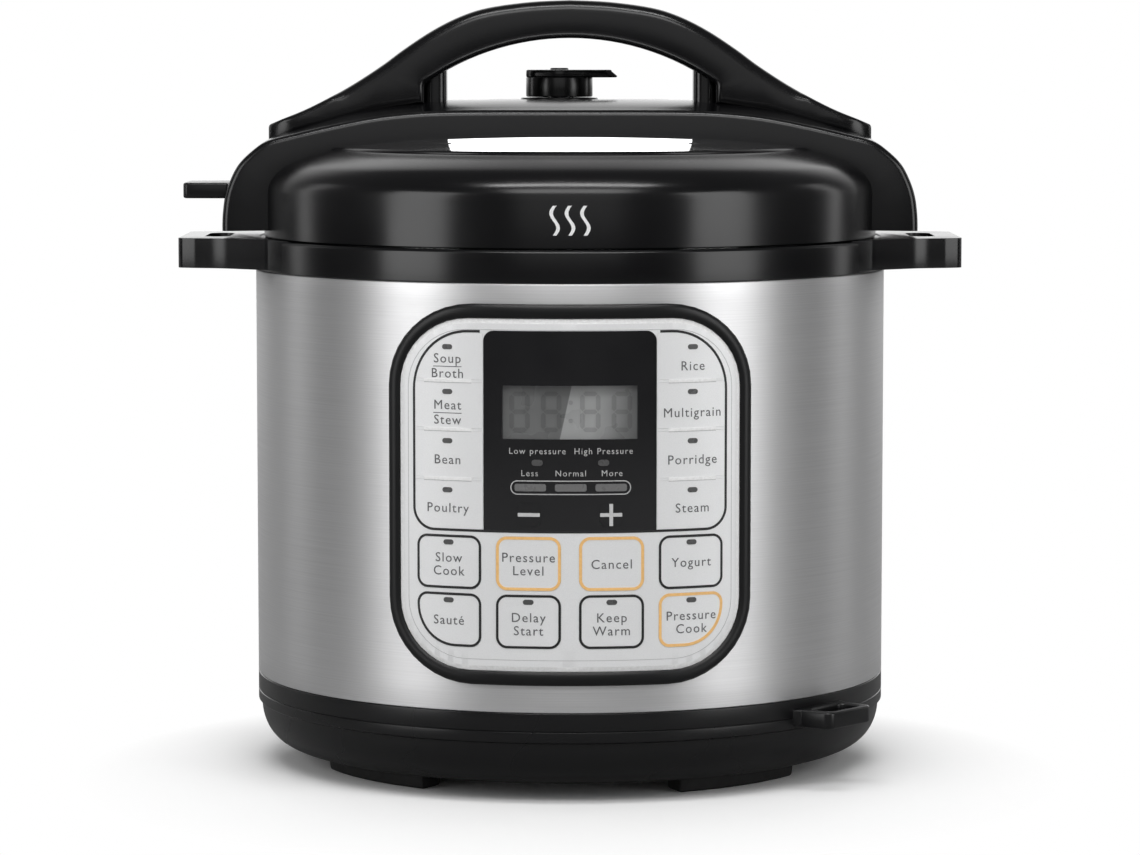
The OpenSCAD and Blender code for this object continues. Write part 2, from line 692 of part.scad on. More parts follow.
module handle_grip() color("#1c1c1e") difference() {
    translate([0, grip_y / 2, 0]) rotate([90, 0, 0]) linear_extrude(grip_y) polygon(concat(
        grip_half, [[opening_x, bridge_top], [opening_x, arch(opening_x)]],
        [for (i = [8:-1:-8]) [i * opening_x / 9, arch(i * opening_x / 9)]],
        [[-opening_x, arch(opening_x)], [-opening_x, bridge_top]],
        [for (i = [len(grip_half) - 1:-1:1]) [-grip_half[i][0], grip_half[i][1]]]));
    for (x = [-handle_screw_x, handle_screw_x])
        translate([x, 0, 260]) cylinder(r = handle_screw_r + 0.02, h = 27, $fn = 32);
}

module lid_fin() color("#1c1c1e") difference() {
    translate([0, 0, fin_z0]) mirror([1, 0, 0]) linear_extrude(6.7)
        polygon([[ear_x - 10, -17], [fin_x - 2, -16], [fin_x, -14], [fin_x, 14], [fin_x - 2, 16],
                 [ear_x - 10, 17]]);
    bridge_solid();
}

module lid_screws() color("#9a9a9e")
    for (a = [0, 180]) rotate([0, 0, a])
        translate([lid_r - wall - screw_clearance, 0, lid_screw_z]) rotate([0, 90, 0]) {
            translate([0, 0, -2]) cylinder(r = 3.4, h = 2, $fn = 32);
            cylinder(r = lid_screw_r, h = 9, $fn = 32);
        }

module handle_screws() color("#9a9a9e")
    for (x = [-handle_screw_x, handle_screw_x]) translate([x, 0, 269.4]) {
        cylinder(r = 4, h = 3, $fn = 32);
        translate([0, 0, 3]) cylinder(r = handle_screw_r, h = 14, $fn = 32);
    }

module vent_pipe() color("#cfd0d2") translate([knob_x, knob_y, 0]) difference() {
    union() {
        translate([0, 0, 257]) cylinder(r = pipe_r, h = pipe_top - 257);
        translate([0, 0, 265.4]) cylinder(r = 11, h = 2.5);
        translate([0, 0, dome_z]) cylinder(r = 8, h = 4, $fn = 6);
    }
    translate([0, 0, 250]) cylinder(r = pipe_bore, h = 50);
}

module steam_shield() color("#c2c3c6") translate([knob_x, knob_y, 0]) difference() {
    ring(0, 11, 252, 265.4);
    ring(0, 9.6, 253.2, 266);
    for (a = [0:45:135]) rotate([0, 0, a]) translate([-15, -1.2, 256]) cube([30, 2.4, 7]);
}

module float_valve() color("#b23a30") translate([float_x, float_y, 0]) {
    translate([0, 0, 259]) cylinder(r = float_r, h = 23);
    translate([0, 0, 281.5]) cylinder(r = 4, h = 3);
    translate([0, 0, 259]) cylinder(r = 5.5, h = 1.5);
}

module float_cap() color("#dcdcd8") translate([float_x, float_y, 0]) difference() {
    translate([0, 0, 257.5]) cylinder(r = 6.6, h = 5);
    translate([0, 0, 259]) cylinder(r = 5.5, h = 1.5);
    translate([0, 0, 259]) cylinder(r = float_r, h = 5);
}

module valve_weight() color("#b5b6b9") translate([knob_x, knob_y, 0]) difference() {
    translate([0, 0, 286.6]) cylinder(r = 9, h = 7.4);
    translate([0, 0, 286]) cylinder(r = pipe_r + 0.3, h = pipe_top - 286);
}

module steam_knob() color("#1c1c1e") translate([knob_x, knob_y, 0]) difference() {
    union() {
        translate([0, 0, 286.3]) cylinder(r = knob_r, h = 8.5);
        translate([0, 0, 294.8]) linear_extrude(3.2) {
            circle(knob_r - 1);
            polygon([[0, -knob_r + 1], [lever_reach - 2, -6.5], [lever_reach, -4.5],
                     [lever_reach, 4.5], [lever_reach - 2, 6.5], [0, knob_r - 1]]);
        }
        translate([0, 0, 298]) cylinder(r = 4, h = 1);
    }
    translate([0, 0, 286]) cylinder(r = 9.3, h = 8.2);
}

base_shell();
base_feet();
foot_screws();
tie_bolts();
body_band();
top_ring();
spoon_holder();
panel_frame();
control_panel();
display_window();
lcd_module();
control_board();
key_switches();
power_board();
power_inlet();
inlet_pins();
outer_pot();
heater_plate();
heating_element();
elastic_plate();
pressure_switch();
thermal_fuse();
sensor_spring();
temperature_sensor();
cup_bay();
condensation_cup();
inner_pot();
sealing_ring();
seal_rack();
lid_pan();
lid_ring();
handle_bridge();
handle_grip();
lid_fin();
lid_screws();
handle_screws();
vent_pipe();
steam_shield();
float_valve();
float_cap();
valve_weight();
steam_knob();
for (i = [0:3]) {
    key(menu_key(-1, i), "#b4b6b9");
    key(menu_key(1, i), "#b4b6b9");
    key(row_key(0, i), "#b4b6b9");
    key(row_key(1, i), "#b4b6b9");
}
key(adjust_key(-1), "#0b0b0d");  // key_minus
key(adjust_key(1), "#0b0b0d");  // key_plus
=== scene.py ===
"""Electric pressure cooker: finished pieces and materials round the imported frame."""
import math
import bmesh
import bpy
from mathutils import Matrix, Vector


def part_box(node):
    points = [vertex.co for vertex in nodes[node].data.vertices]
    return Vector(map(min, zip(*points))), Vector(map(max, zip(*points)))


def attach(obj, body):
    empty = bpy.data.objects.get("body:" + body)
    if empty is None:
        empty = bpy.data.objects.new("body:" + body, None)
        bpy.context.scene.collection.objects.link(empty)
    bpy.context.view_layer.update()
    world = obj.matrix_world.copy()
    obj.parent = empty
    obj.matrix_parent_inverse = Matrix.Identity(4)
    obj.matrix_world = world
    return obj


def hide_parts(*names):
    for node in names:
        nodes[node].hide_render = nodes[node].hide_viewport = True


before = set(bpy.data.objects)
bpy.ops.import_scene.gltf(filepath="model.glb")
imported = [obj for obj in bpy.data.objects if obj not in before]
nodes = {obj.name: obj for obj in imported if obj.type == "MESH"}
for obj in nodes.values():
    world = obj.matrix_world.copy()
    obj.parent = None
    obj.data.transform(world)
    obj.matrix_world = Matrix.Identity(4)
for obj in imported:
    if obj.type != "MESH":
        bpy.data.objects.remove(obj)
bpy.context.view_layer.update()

MM = 0.001
TURN = 2 * math.pi


def reach(node, corner, axis):
    """A corner of a CAD node's box, in millimetres: corner 0 is the lowest and 1 the highest."""
    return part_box(node)[corner]["xyz".index(axis)] / MM


def span(node, axis):
    """Both ends of a CAD node's box along an axis, in millimetres."""
    return reach(node, 0, axis), reach(node, 1, axis)


# Driving sizes, in millimetres, taken from the frame
BODY_R = reach("body_band", 1, "x")
BAND_LOW, BAND_TOP = span("body_band", "z")
BASE_LOW = reach("base_shell", 0, "z")
RING_TOP = reach("top_ring", 1, "z")
HANDLE_TIP = reach("top_ring", 1, "x")
LID_R = reach("lid_ring", 1, "x")
SKIRT_DROP = 0.45
LID_LOW = reach("lid_ring", 0, "z") - SKIRT_DROP
DOME_TOP = reach("lid_pan", 1, "z")
PAN_LOW = reach("lid_pan", 0, "z")
GRIP_TOP = reach("handle_grip", 1, "z")
GRIP_HALF = reach("handle_grip", 1, "y")
BRIDGE_HALF = -reach("handle_bridge", 0, "y")
EAR_X = reach("handle_bridge", 1, "x")
EAR_LOW = reach("handle_bridge", 0, "z")
FIN_TIP = -reach("lid_fin", 0, "x")
PANEL_HALF_W = reach("panel_frame", 1, "x")
PANEL_LOW, PANEL_TOP = span("panel_frame", "z")
PANEL_MID = (PANEL_LOW + PANEL_TOP) / 2
BEZEL_OUT = -reach("panel_frame", 0, "y") - BODY_R
PLATE_OUT = 1.8
PLATE_R = BODY_R + PLATE_OUT
PLATE_DEPTH = 1.5
BEZEL_W = 5.8
PANEL_CORNER = 34.0
DOME_EDGE_R = 103.5
DOME_DROP = 5.3
LUG_COUNT, LUG_ANGLE = 6, 27
INLET_OPENING = (-15.6, 15.6, 100, 150, 12.9, 35.1)
BAY_OPENING = (-33.2, 33.2, 100, 160, 155.8, 209.2)
KNOB_X, KNOB_Y = -4.7, 34.0
FLOAT_X, FLOAT_Y = 26.0, 36.0
KEY_PITCH = math.radians(14.1) * PLATE_R
KEY_W = 27.0
ROW_Z = (99.9, 76.2)
ROW_H = 22.0


# ------------------------------------------------------------ shaping helpers


def arc(cx, cz, r, start, end, steps):
    """Points on an arc, angles in degrees, end included."""
    angles = (math.radians(start + (end - start) * i / steps) for i in range(steps + 1))
    return [(cx + r * math.cos(a), cz + r * math.sin(a)) for a in angles]


def filleted(points, radii, steps=6, closed=True):
    """An outline whose corners are rounded, each by its own radius."""
    out, n = [], len(points)
    for i, (p, r) in enumerate(zip(points, radii)):
        if r <= 0 or (not closed and i in (0, n - 1)):
            out.append(tuple(p))
            continue
        here = Vector(p)
        before, after = Vector(points[i - 1]) - here, Vector(points[(i + 1) % n]) - here
        half = before.angle(after) / 2
        room = [0.98 * side.length * r / (r + max(0.0, radii[j])) for side, j in
                ((before, i - 1), (after, (i + 1) % n))]
        cut = min(r / math.tan(half), *room)
        a, b = here + before.normalized() * cut, here + after.normalized() * cut
        bulge = math.sin(half)
        for k in range(steps + 1):
            t = k / steps
            near, mid, far = (1 - t) ** 2, 2 * bulge * t * (1 - t), t * t
            out.append(tuple((a * near + here * mid + b * far) / (near + mid + far)))
    return out


def smooth_curve(points, steps=6):
    """A curve through the points, Catmull-Rom, the ends kept."""
    ps = [Vector(points[0])] + [Vector(p) for p in points] + [Vector(points[-1])]
    out = []
    for i in range(1, len(ps) - 2):
        a, b, c, d = ps[i - 1:i + 3]
        for k in range(steps):
            t = k / steps
            out.append(tuple(0.5 * (2 * b + (c - a) * t + (2 * a - 5 * b + 4 * c - d) * t * t
                                    + (3 * b - a - 3 * c + d) * t ** 3)))
    return out + [tuple(points[-1])]


def round_box(w, h, r, steps=6, cx=0.0, cz=0.0):
    """The outline of a rectangle with round corners, anticlockwise."""
    x, z = w / 2 - r, h / 2 - r
    out = []
    for sx, sz, start in ((1, 1, 0), (-1, 1, 90), (-1, -1, 180), (1, -1, 270)):
        out += arc(cx + sx * x, cz + sz * z, r, start, start + 90, steps)
    return out


def divided(outline, longest=3.0, closed=True):
    """The outline with its long stretches cut up, so that it can follow the body's curve."""
    out, n = [], len(outline)
    for i in range(n if closed else n - 1):
        a, b = Vector(outline[i]), Vector(outline[(i + 1) % n])
        parts = max(1, math.ceil((b - a).length / longest))
        out += [tuple(a.lerp(b, k / parts)) for k in range(parts)]
    return out if closed else out + [tuple(outline[-1])]


def loop_of(bm, outline, place):
    """A closed ring of edges through an outline; place turns (u, v) into a point."""
    verts = [bm.verts.new(place(u, v)) for u, v in outline]
    return [bm.edges.new((verts[i], verts[(i + 1) % len(verts)])) for i in range(len(verts))]


def front_plane(u, v):
    """An outline's point on the upright plane y = 0."""
    return (u, 0.0, v)


def floor_plane(u, v):
    """An outline's point on the level plane z = 0."""
    return (u, v, 0.0)


def sheet_with_holes(outline, holes=(), place=front_plane):
    """A flat sheet inside an outline, open at the holes."""
    bm = bmesh.new()
    edges = loop_of(bm, outline, place)
    for hole in holes:
        edges += loop_of(bm, hole, place)
    bmesh.ops.triangle_fill(bm, edges=edges, use_beauty=True)
    return bm


def thickened(bm, depth, along=(0, 1, 0)):
    """Gives a flat sheet a depth along a direction and turns its faces outwards."""
    made = bmesh.ops.extrude_face_region(bm, geom=bm.faces[:])["geom"]
    bmesh.ops.translate(bm, vec=Vector(along) * depth,
                        verts=[g for g in made if isinstance(g, bmesh.types.BMVert)])
    bmesh.ops.recalc_face_normals(bm, faces=bm.faces[:])
    return bm


def crisp_edges(bm, angle=40):
    """The edges between faces that meet at more than an angle, in degrees."""
    limit = math.radians(angle)
    return [e for e in bm.edges if len(e.link_faces) == 2 and e.calc_face_angle() > limit]


def bevelled(bm, width, segments=3, angle=40, edges=None):
    """The shape with its crisp edges, or the given ones, rounded over."""
    bmesh.ops.bevel(bm, geom=edges or crisp_edges(bm, angle), offset=width, offset_type="OFFSET",
                    segments=segments, profile=0.5, affect="EDGES", clamp_overlap=True, material=-1)
    return bm


def slab(outline, depth, bevel=0.0, holes=(), place=front_plane, along=(0, 1, 0)):
    """An upright plate cut to an outline, with its rims rounded over."""
    bm = thickened(sheet_with_holes(outline, holes, place), depth, along)
    if bevel:
        bmesh.ops.dissolve_limit(bm, angle_limit=0.001, verts=bm.verts[:], edges=bm.edges[:])
        bevelled(bm, bevel, 3, 60)
    return bm


def flat_plate(outline, height, bevel=0.0, holes=()):
    """A plate that lies flat, cut to an outline, with its rims rounded over."""
    return slab(outline, height, bevel, holes, floor_plane, (0, 0, 1))


def turned(profile, steps=192, start=0.0, angle=TURN):
    """Spins a closed profile of (radius, height) points about the upright axis."""
    bm = bmesh.new()
    verts = [bm.verts.new((r * math.cos(start), r * math.sin(start), z)) for r, z in profile]
    edges = [bm.edges.new(pair) for pair in zip(verts, verts[1:] + verts[:1])]
    whole = abs(angle - TURN) < 1e-6
    bmesh.ops.spin(bm, geom=verts + edges, cent=(0, 0, 0), axis=(0, 0, 1), angle=angle,
                   steps=steps, use_merge=whole)
    bmesh.ops.remove_doubles(bm, verts=bm.verts[:], dist=0.0005)
    if not whole:
        rims = [e for e in bm.edges if len(e.link_faces) == 1]
        bmesh.ops.holes_fill(bm, edges=rims, sides=0)
    bmesh.ops.recalc_face_normals(bm, faces=bm.faces[:])
    return bm


def tube(r0, r1, z0, z1, steps, **stretch):
    """A turned ring of rectangular section, or a rod if its inner radius is 0."""
    return turned([(r0, z0), (r1, z0), (r1, z1), (r0, z1)], steps, **stretch)


def moved(bm, x=0.0, y=0.0, z=0.0):
    """The shape, moved."""
    bmesh.ops.translate(bm, vec=(x, y, z), verts=bm.verts[:])
    return bm


def rotated(bm, degrees, axis="Z"):
    """The shape, turned about an axis through the origin."""
    bmesh.ops.rotate(bm, cent=(0, 0, 0), matrix=Matrix.Rotation(math.radians(degrees), 3, axis),
                     verts=bm.verts[:])
    return bm


def bridged(bm, first, second, closed=True):
    """Faces between two rows of points, side by side."""
    n = len(first)
    for i in range(n if closed else n - 1):
        j = (i + 1) % n
        bm.faces.new((first[i], first[j], second[j], second[i]))


def painted(bm, index):
    """The shape, all in the material of that number."""
    for f in bm.faces:
        f.material_index = index
    return bm


def add(parts, index, bm, x=0.0, y=0.0, z=0.0):
    """Puts a shape among the parts of a piece, moved and in the material of that number."""
    parts.append(painted(moved(bm, x, y, z), index))


def joined(parts):
    """Several shapes as one mesh, each keeping its own material numbers."""
    whole = bmesh.new()
    for bm in parts:
        mesh = bpy.data.meshes.new("part")
        bm.to_mesh(mesh)
        bm.free()
        whole.from_mesh(mesh)
        bpy.data.meshes.remove(mesh)
    return whole


def sliced(bm, spacing=3.0):
    """Cuts upright lines across a flat sheet, so that it can follow the body's curve."""
    xs = [v.co.x for v in bm.verts]
    x = math.floor(min(xs) / spacing) * spacing + spacing
    while x < max(xs):
        bmesh.ops.bisect_plane(bm, geom=bm.verts[:] + bm.edges[:] + bm.faces[:], dist=0.0001,
                               plane_co=(x, 0, 0), plane_no=(1, 0, 0))
        x += spacing
    return bm


def wrapped(bm, radius=PLATE_R):
    """Bends a flat sheet round the body: x is the way along the curve and -y stands out of it."""
    for v in bm.verts:
        a, r = v.co.x / PLATE_R, radius - v.co.y
        v.co = (r * math.sin(a), -r * math.cos(a), v.co.z)
    return bm


def along_body(x):
    """The way along the panel's curve to a point x from its middle as seen from the front."""
    return math.asin(x / PLATE_R) * PLATE_R


def piece(name, bm, materials, body, stands_for=(), smooth=35):
    """Finishes a shape, modelled in millimetres, as a named piece on a body."""
    bmesh.ops.scale(bm, vec=(MM, MM, MM), verts=bm.verts[:])
    limit = math.radians(smooth)
    for f in bm.faces:
        f.smooth = True
    for e in bm.edges:
        e.smooth = len(e.link_faces) == 2 and e.calc_face_angle() < limit
    mesh = bpy.data.meshes.new(name)
    bm.to_mesh(mesh)
    bm.free()
    for m in materials if isinstance(materials, (list, tuple)) else [materials]:
        mesh.materials.append(m)
    obj = bpy.data.objects.new(name, mesh)
    bpy.context.scene.collection.objects.link(obj)
    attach(obj, body)
    if stands_for:
        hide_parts(*stands_for)


def carved(bm, cutters):
    """The shape with other closed shapes cut out of it."""
    objects = []
    for shape in [bm, *cutters]:
        mesh = bpy.data.meshes.new("carving")
        shape.to_mesh(mesh)
        shape.free()
        obj = bpy.data.objects.new("carving", mesh)
        bpy.context.scene.collection.objects.link(obj)
        objects.append(obj)
    body = objects[0]
    for cutter in objects[1:]:
        cut = body.modifiers.new("cut", "BOOLEAN")
        cut.operation, cut.object, cut.solver = "DIFFERENCE", cutter, "EXACT"
    result = bmesh.new()
    bpy.context.view_layer.update()
    result.from_object(body, bpy.context.evaluated_depsgraph_get())
    for obj in objects:
        bpy.data.objects.remove(obj)
    return result


def box(x0, x1, y0, y1, z0, z1):
    """A block between three pairs of limits."""
    bm = bmesh.new()
    bmesh.ops.create_cube(bm, size=1)
    bmesh.ops.scale(bm, vec=(x1 - x0, y1 - y0, z1 - z0), verts=bm.verts[:])
    return moved(bm, (x0 + x1) / 2, (y0 + y1) / 2, (z0 + z1) / 2)


# ------------------------------------------------------------------ materials


class Graph:
    """Shader nodes being put together in a tree."""

    def __init__(self, tree):
        self.tree = tree

    def feed(self, socket, value):
        """Sets an input to a number or a colour, or links another node's output to it."""
        if isinstance(value, bpy.types.NodeSocket):
            self.tree.links.new(value, socket)
        else:
            socket.default_value = value

    def node(self, kind, *values, **named):
        """A new node. Values fill its inputs in order. A name with a capital fills that input,
        and any other name is one of the node's own settings."""
        n = self.tree.nodes.new(kind)
        for key, value in named.items():
            if key[0].isupper():
                self.feed(n.inputs[key.replace("_", " ")], value)
            else:
                setattr(n, key, value)
        for socket, value in zip(n.inputs, values):
            self.feed(socket, value)
        return n

    def maths(self, operation, *values):
        return self.node("ShaderNodeMath", *values, operation=operation).outputs[0]

    def ranged(self, value, low, high, source=(0.3, 0.7)):
        """A value's range turned into the one from low to high."""
        return self.node("ShaderNodeMapRange", value, *source, low, high).outputs["Result"]

    def distance(self, x, y):
        """How far a point is from the upright axis."""
        squares = self.maths("ADD", self.maths("MULTIPLY", x, x), self.maths("MULTIPLY", y, y))
        return self.maths("SQRT", squares)

    def for_camera(self, others, camera, output):
        """Shows one shader to the camera and another to everything else."""
        path = self.node("ShaderNodeLightPath").outputs["Is Camera Ray"]
        choice = self.node("ShaderNodeMixShader", path, others, camera)
        self.feed(self.tree.nodes[output].inputs["Surface"], choice.outputs[0])


class Finish(Graph):
    """A material being put together. The three kinds of unevenness are (scale, detail, low, high) of a
    noise: tint as shares of the colour, rough beside the roughness, bump as strength and distance."""

    def __init__(self, name, colour, roughness=0.4, metallic=0.0, tint=None, rough=None, bump=None,
                 **sockets):
        self.m = bpy.data.materials.new(name)
        self.m.use_nodes = True
        super().__init__(self.m.node_tree)
        self.shader = self.tree.nodes["Principled BSDF"]
        self.set(Base_Color=(*colour, 1.0), Roughness=roughness, Metallic=metallic, **sockets)
        self.place = self.node("ShaderNodeTexCoord").outputs["Object"]
        if tint:
            self.tint(self.noise(*tint[:2]), shade(colour, tint[2]), shade(colour, tint[3]))
        if rough:
            self.rough(self.noise(*rough[:2]), roughness + rough[2], roughness + rough[3])
        if bump:
            self.bump(self.noise(*bump[:2]), *bump[2:])

    def set(self, **sockets):
        for key, value in sockets.items():
            self.feed(self.shader.inputs[key.replace("_", " ")], value)

    def noise(self, scale, detail=2.0, place=None):
        return self.node("ShaderNodeTexNoise", Scale=scale, Detail=detail,
                         Vector=place or self.place).outputs["Fac"]

    def rough(self, value, low, high):
        self.set(Roughness=self.ranged(value, low, high))

    def tint(self, value, dark, light):
        ramp = self.node("ShaderNodeValToRGB", value)
        for stop, position, colour in zip(ramp.color_ramp.elements, (0.3, 0.7), (dark, light)):
            stop.position, stop.color = position, (*colour, 1)
        self.set(Base_Color=ramp.outputs["Color"])

    def bump(self, height, strength, distance):
        self.set(Normal=self.node("ShaderNodeBump", Strength=strength, Distance=distance,
                                  Height=height).outputs["Normal"])

    def split(self):
        return self.node("ShaderNodeSeparateXYZ", self.place).outputs

    def combine(self, *values):
        return self.node("ShaderNodeCombineXYZ", *values).outputs[0]


def shade(colour, factor):
    """A colour made darker or lighter."""
    return tuple(min(1.0, c * factor) for c in colour)


def moulded_plastic(name, colour, roughness, grain=0.05, **sockets):
    """Injection moulded plastic: a fine spark-eroded grain and slightly uneven gloss."""
    return Finish(name, colour, roughness, 0.0, (30, 3, 0.9, 1.12), (14, 3, -0.04, 0.05),
                  (1400, 2, grain, 0.0002), **sockets).m


def turned_metal(name, colour, roughness, spread, coarse=2600, fine=9000, anisotropic=0.6, depth=0.04,
                 about_axis=True):
    """Metal brushed round the upright axis: long fine scratches, with the gloss drawn out across them."""
    f = Finish(name, colour, roughness, 1.0, Anisotropic=anisotropic, Anisotropic_Rotation=0.25)
    x, y, z = f.split()
    around = f.maths("ARCTAN2", y, x)
    across = f.maths("ADD", z, f.distance(x, y)) if about_axis else z
    lines = f.combine(f.maths("MULTIPLY", around, 2.2), f.maths("MULTIPLY", across, coarse), 0.0)
    hairs = f.combine(f.maths("MULTIPLY", around, 7.0), f.maths("MULTIPLY", across, fine), 3.0)
    streaks, scratches = f.noise(1.0, 3, lines), f.noise(1.0, 2, hairs)
    both = f.maths("MULTIPLY", f.maths("ADD", streaks, scratches), 0.5)
    f.rough(both, roughness - spread, roughness + spread)
    f.tint(streaks, shade(colour, 0.94), shade(colour, 1.04))
    f.bump(both, depth, 0.0001)
    f.set(Tangent=f.node("ShaderNodeTangent", direction_type="RADIAL", axis="Z").outputs[0])
    return f.m


def plain_metal(name, colour, roughness, spread=0.05, scale=60):
    """Bare sheet or turned metal with a slightly cloudy surface."""
    return Finish(name, colour, roughness, 1.0, (scale, 4, 0.9, 1.05), (scale, 4, -spread, spread),
                  (900, 2, 0.03, 0.0001)).m


def printed(name, colour, roughness=0.5):
    """Screen printing ink, with a little unevenness in its film. Also used for the fascia's painted
    highlight and painted shade lines.
    """
    return Finish(name, colour, roughness, 0.0, (900, 2, 0.93, 1.05), (400, 2, -0.06, 0.06)).m


def display_cell(name, strength):
    """The display's polariser: grey, with a painted glare that is lighter on the right of a slanted line."""
    f = Finish(name, shade((0.17, 0.17, 0.17), strength), 0.3, rough=(90, 2, -0.05, 0.03))
    x, _, z = f.split()
    # Painted reflection: a glare band, lighter just right of a slanted line and fading out further right,
    # fixed on the surface.
    slant = f.maths("SUBTRACT", x, f.maths("MULTIPLY", f.maths("SUBTRACT", z, 0.161), 0.22))
    fade = f.ranged(slant, 0.0, 1.0, (-0.0021, -0.0013))
    glare_falloff = f.ranged(slant, 1.0, 0.0, (0.0, 0.034))
    f.tint(f.maths("MULTIPLY", fade, glare_falloff), shade((0.16, 0.163, 0.163), strength),
           shade((0.37, 0.375, 0.375), strength))
    return f.m


def circuit_lacquer():
    """Green solder mask with copper tracks showing through."""
    f = Finish("circuit_lacquer", (0.02, 0.12, 0.06), 0.35, rough=(120, 2, -0.05, 0.07))
    x, y, z = f.split()
    tracks = f.node("ShaderNodeTexBrick", Scale=140, Color1=(0.02, 0.13, 0.06, 1),
                    Color2=(0.025, 0.16, 0.075, 1), Mortar=(0.05, 0.24, 0.1, 1),
                    Vector=f.combine(x, f.maths("ADD", y, z), 0.0))
    f.set(Base_Color=tracks.outputs["Color"])
    return f.m


SATIN_BLACK = moulded_plastic("satin_black_plastic", (0.0035, 0.0035, 0.004), 0.28, 0.05,
                              Specular_IOR_Level=0.4)
GLOSS_BLACK = moulded_plastic("semi_gloss_black_plastic", (0.003, 0.003, 0.0035), 0.22, 0.03,
                              Specular_IOR_Level=0.45)
BEZEL_BLACK = moulded_plastic("bezel_black_plastic", (0.005, 0.005, 0.0055), 0.36, 0.03,
                              Specular_IOR_Level=0.35)
BAND_STEEL = turned_metal("brushed_band_steel", (0.74, 0.74, 0.745), 0.46, 0.05, anisotropic=0.62,
                          about_axis=False)
LID_STEEL = turned_metal("polished_lid_steel", (0.74, 0.74, 0.745), 0.12, 0.03, 1500, 6000, 0.3, 0.015)
POT_STEEL = turned_metal("spun_pot_steel", (0.66, 0.66, 0.665), 0.24, 0.06, 1200, 5000, 0.5, 0.05)
LINER_STEEL = turned_metal("drawn_liner_steel", (0.5, 0.5, 0.51), 0.36, 0.06, 900, 4000, 0.4, 0.05)
CAST_ALUMINIUM = turned_metal("machined_aluminium", (0.52, 0.52, 0.53), 0.34, 0.06, 2200, 7000, 0.5, 0.08)
ZINC = plain_metal("zinc_plated_steel", (0.5, 0.5, 0.52), 0.32)
ELEMENT = plain_metal("heater_sheath", (0.16, 0.15, 0.14), 0.5, 0.08, 200)
BRASS = plain_metal("pin_brass", (0.6, 0.44, 0.18), 0.28)
# Silver paint with fine flake under a satin lacquer, and a hard coated black window
FASCIA = Finish("silver_fascia_paint", (0.88, 0.885, 0.89), 0.42, 0.15, (5200, 1, 0.95, 1.05),
                (30, 3, -0.04, 0.04), (3000, 1, 0.02, 0.00005), Coat_Weight=0.2, Coat_Roughness=0.2).m
WINDOW = Finish("hard_coated_window", (0.011, 0.011, 0.012), 0.16, 0.0, (25, 2, 0.9, 1.1),
                (60, 3, -0.02, 0.03), Coat_Weight=0.3, Coat_Roughness=0.08).m
# The display carries a painted glare in its colour.
DISPLAY_PAINTED_GLARE = display_cell("display_polariser_painted_glare", 1.0)
# Matt black rubber, milky silicone and clear plastic with a faint haze
RUBBER = Finish("foot_rubber", (0.014, 0.014, 0.014), 0.55, 0.0, (200, 3, 0.8, 1.3),
                (300, 2, -0.07, 0.07), (1800, 3, 0.12, 0.0002)).m
SILICONE = Finish("milky_silicone", (0.74, 0.74, 0.70), 0.45, 0.0, (40, 2, 0.95, 1.04), None,
                  (700, 2, 0.04, 0.0002), Subsurface_Weight=0.25,
                  Subsurface_Radius=(0.004, 0.004, 0.0035)).m
CLEAR = Finish("clear_cup_plastic", (0.86, 0.89, 0.91), 0.12, 0.0, None, (80, 2, -0.04, 0.04),
               Transmission_Weight=0.85, IOR=1.49).m
CIRCUIT = circuit_lacquer()
SWITCH = moulded_plastic("switch_plastic", (0.62, 0.62, 0.6), 0.45, 0.08)
RED_PAINT = moulded_plastic("float_red_paint", (0.5, 0.03, 0.02), 0.35, 0.03)
INK_BLACK = printed("outline_black_ink", (0.012, 0.012, 0.013))
INK_AMBER = printed("outline_amber_ink", (0.97, 0.58, 0.22))
INK_GREY = printed("label_grey_ink", (0.12, 0.12, 0.125))
INK_WHITE = printed("label_white_ink", (0.9, 0.9, 0.9))
INK_DIM = printed("label_dim_ink", (0.5, 0.5, 0.5))
LAMP_GREY = printed("indicator_lens", (0.085, 0.085, 0.085), 0.3)
# The unlit segments, a little darker, with the same painted glare.
SEGMENT_PAINTED_GLARE = display_cell("display_segment_painted_glare", 0.78)
BAR_GREY = printed("level_bar_lens", (0.17, 0.17, 0.17), 0.3)
GLYPH_GREY = printed("adjust_glyph_ink", (0.62, 0.62, 0.62))
# A white painted highlight on the fascia's sloped rim and raised divider ribs.
FASCIA_PAINTED_HIGHLIGHT = printed("fascia_painted_highlight_line", (0.95, 0.95, 0.95), 0.45)
# A grey painted shade: the shadow under each divider and a groove line along the rim.
FASCIA_PAINTED_SHADE = printed("fascia_painted_shade_line", (0.56, 0.56, 0.565), 0.4)


# ------------------------------------------------------------ camera and stage


def softbox(name, place, aim, width, height, radiance):
    """A rectangular area light of a given brightness, which the camera doesn't see."""
    light = bpy.data.lights.new(name, "AREA")
    light.shape, light.size, light.size_y = "RECTANGLE", width, height
    light.energy = radiance * math.pi * width * height
    obj = bpy.data.objects.new(name, light)
    obj.location = place
    obj.rotation_euler = (Vector(aim) - Vector(place)).to_track_quat("-Z", "Y").to_euler()
    obj.visible_camera = False
    bpy.context.scene.collection.objects.link(obj)


def around(azimuth, distance, height):
    """A point round the object: azimuth 0 is in front, and a positive one is on the right."""
    a = math.radians(azimuth)
    return (distance * math.sin(a), -distance * math.cos(a), height)


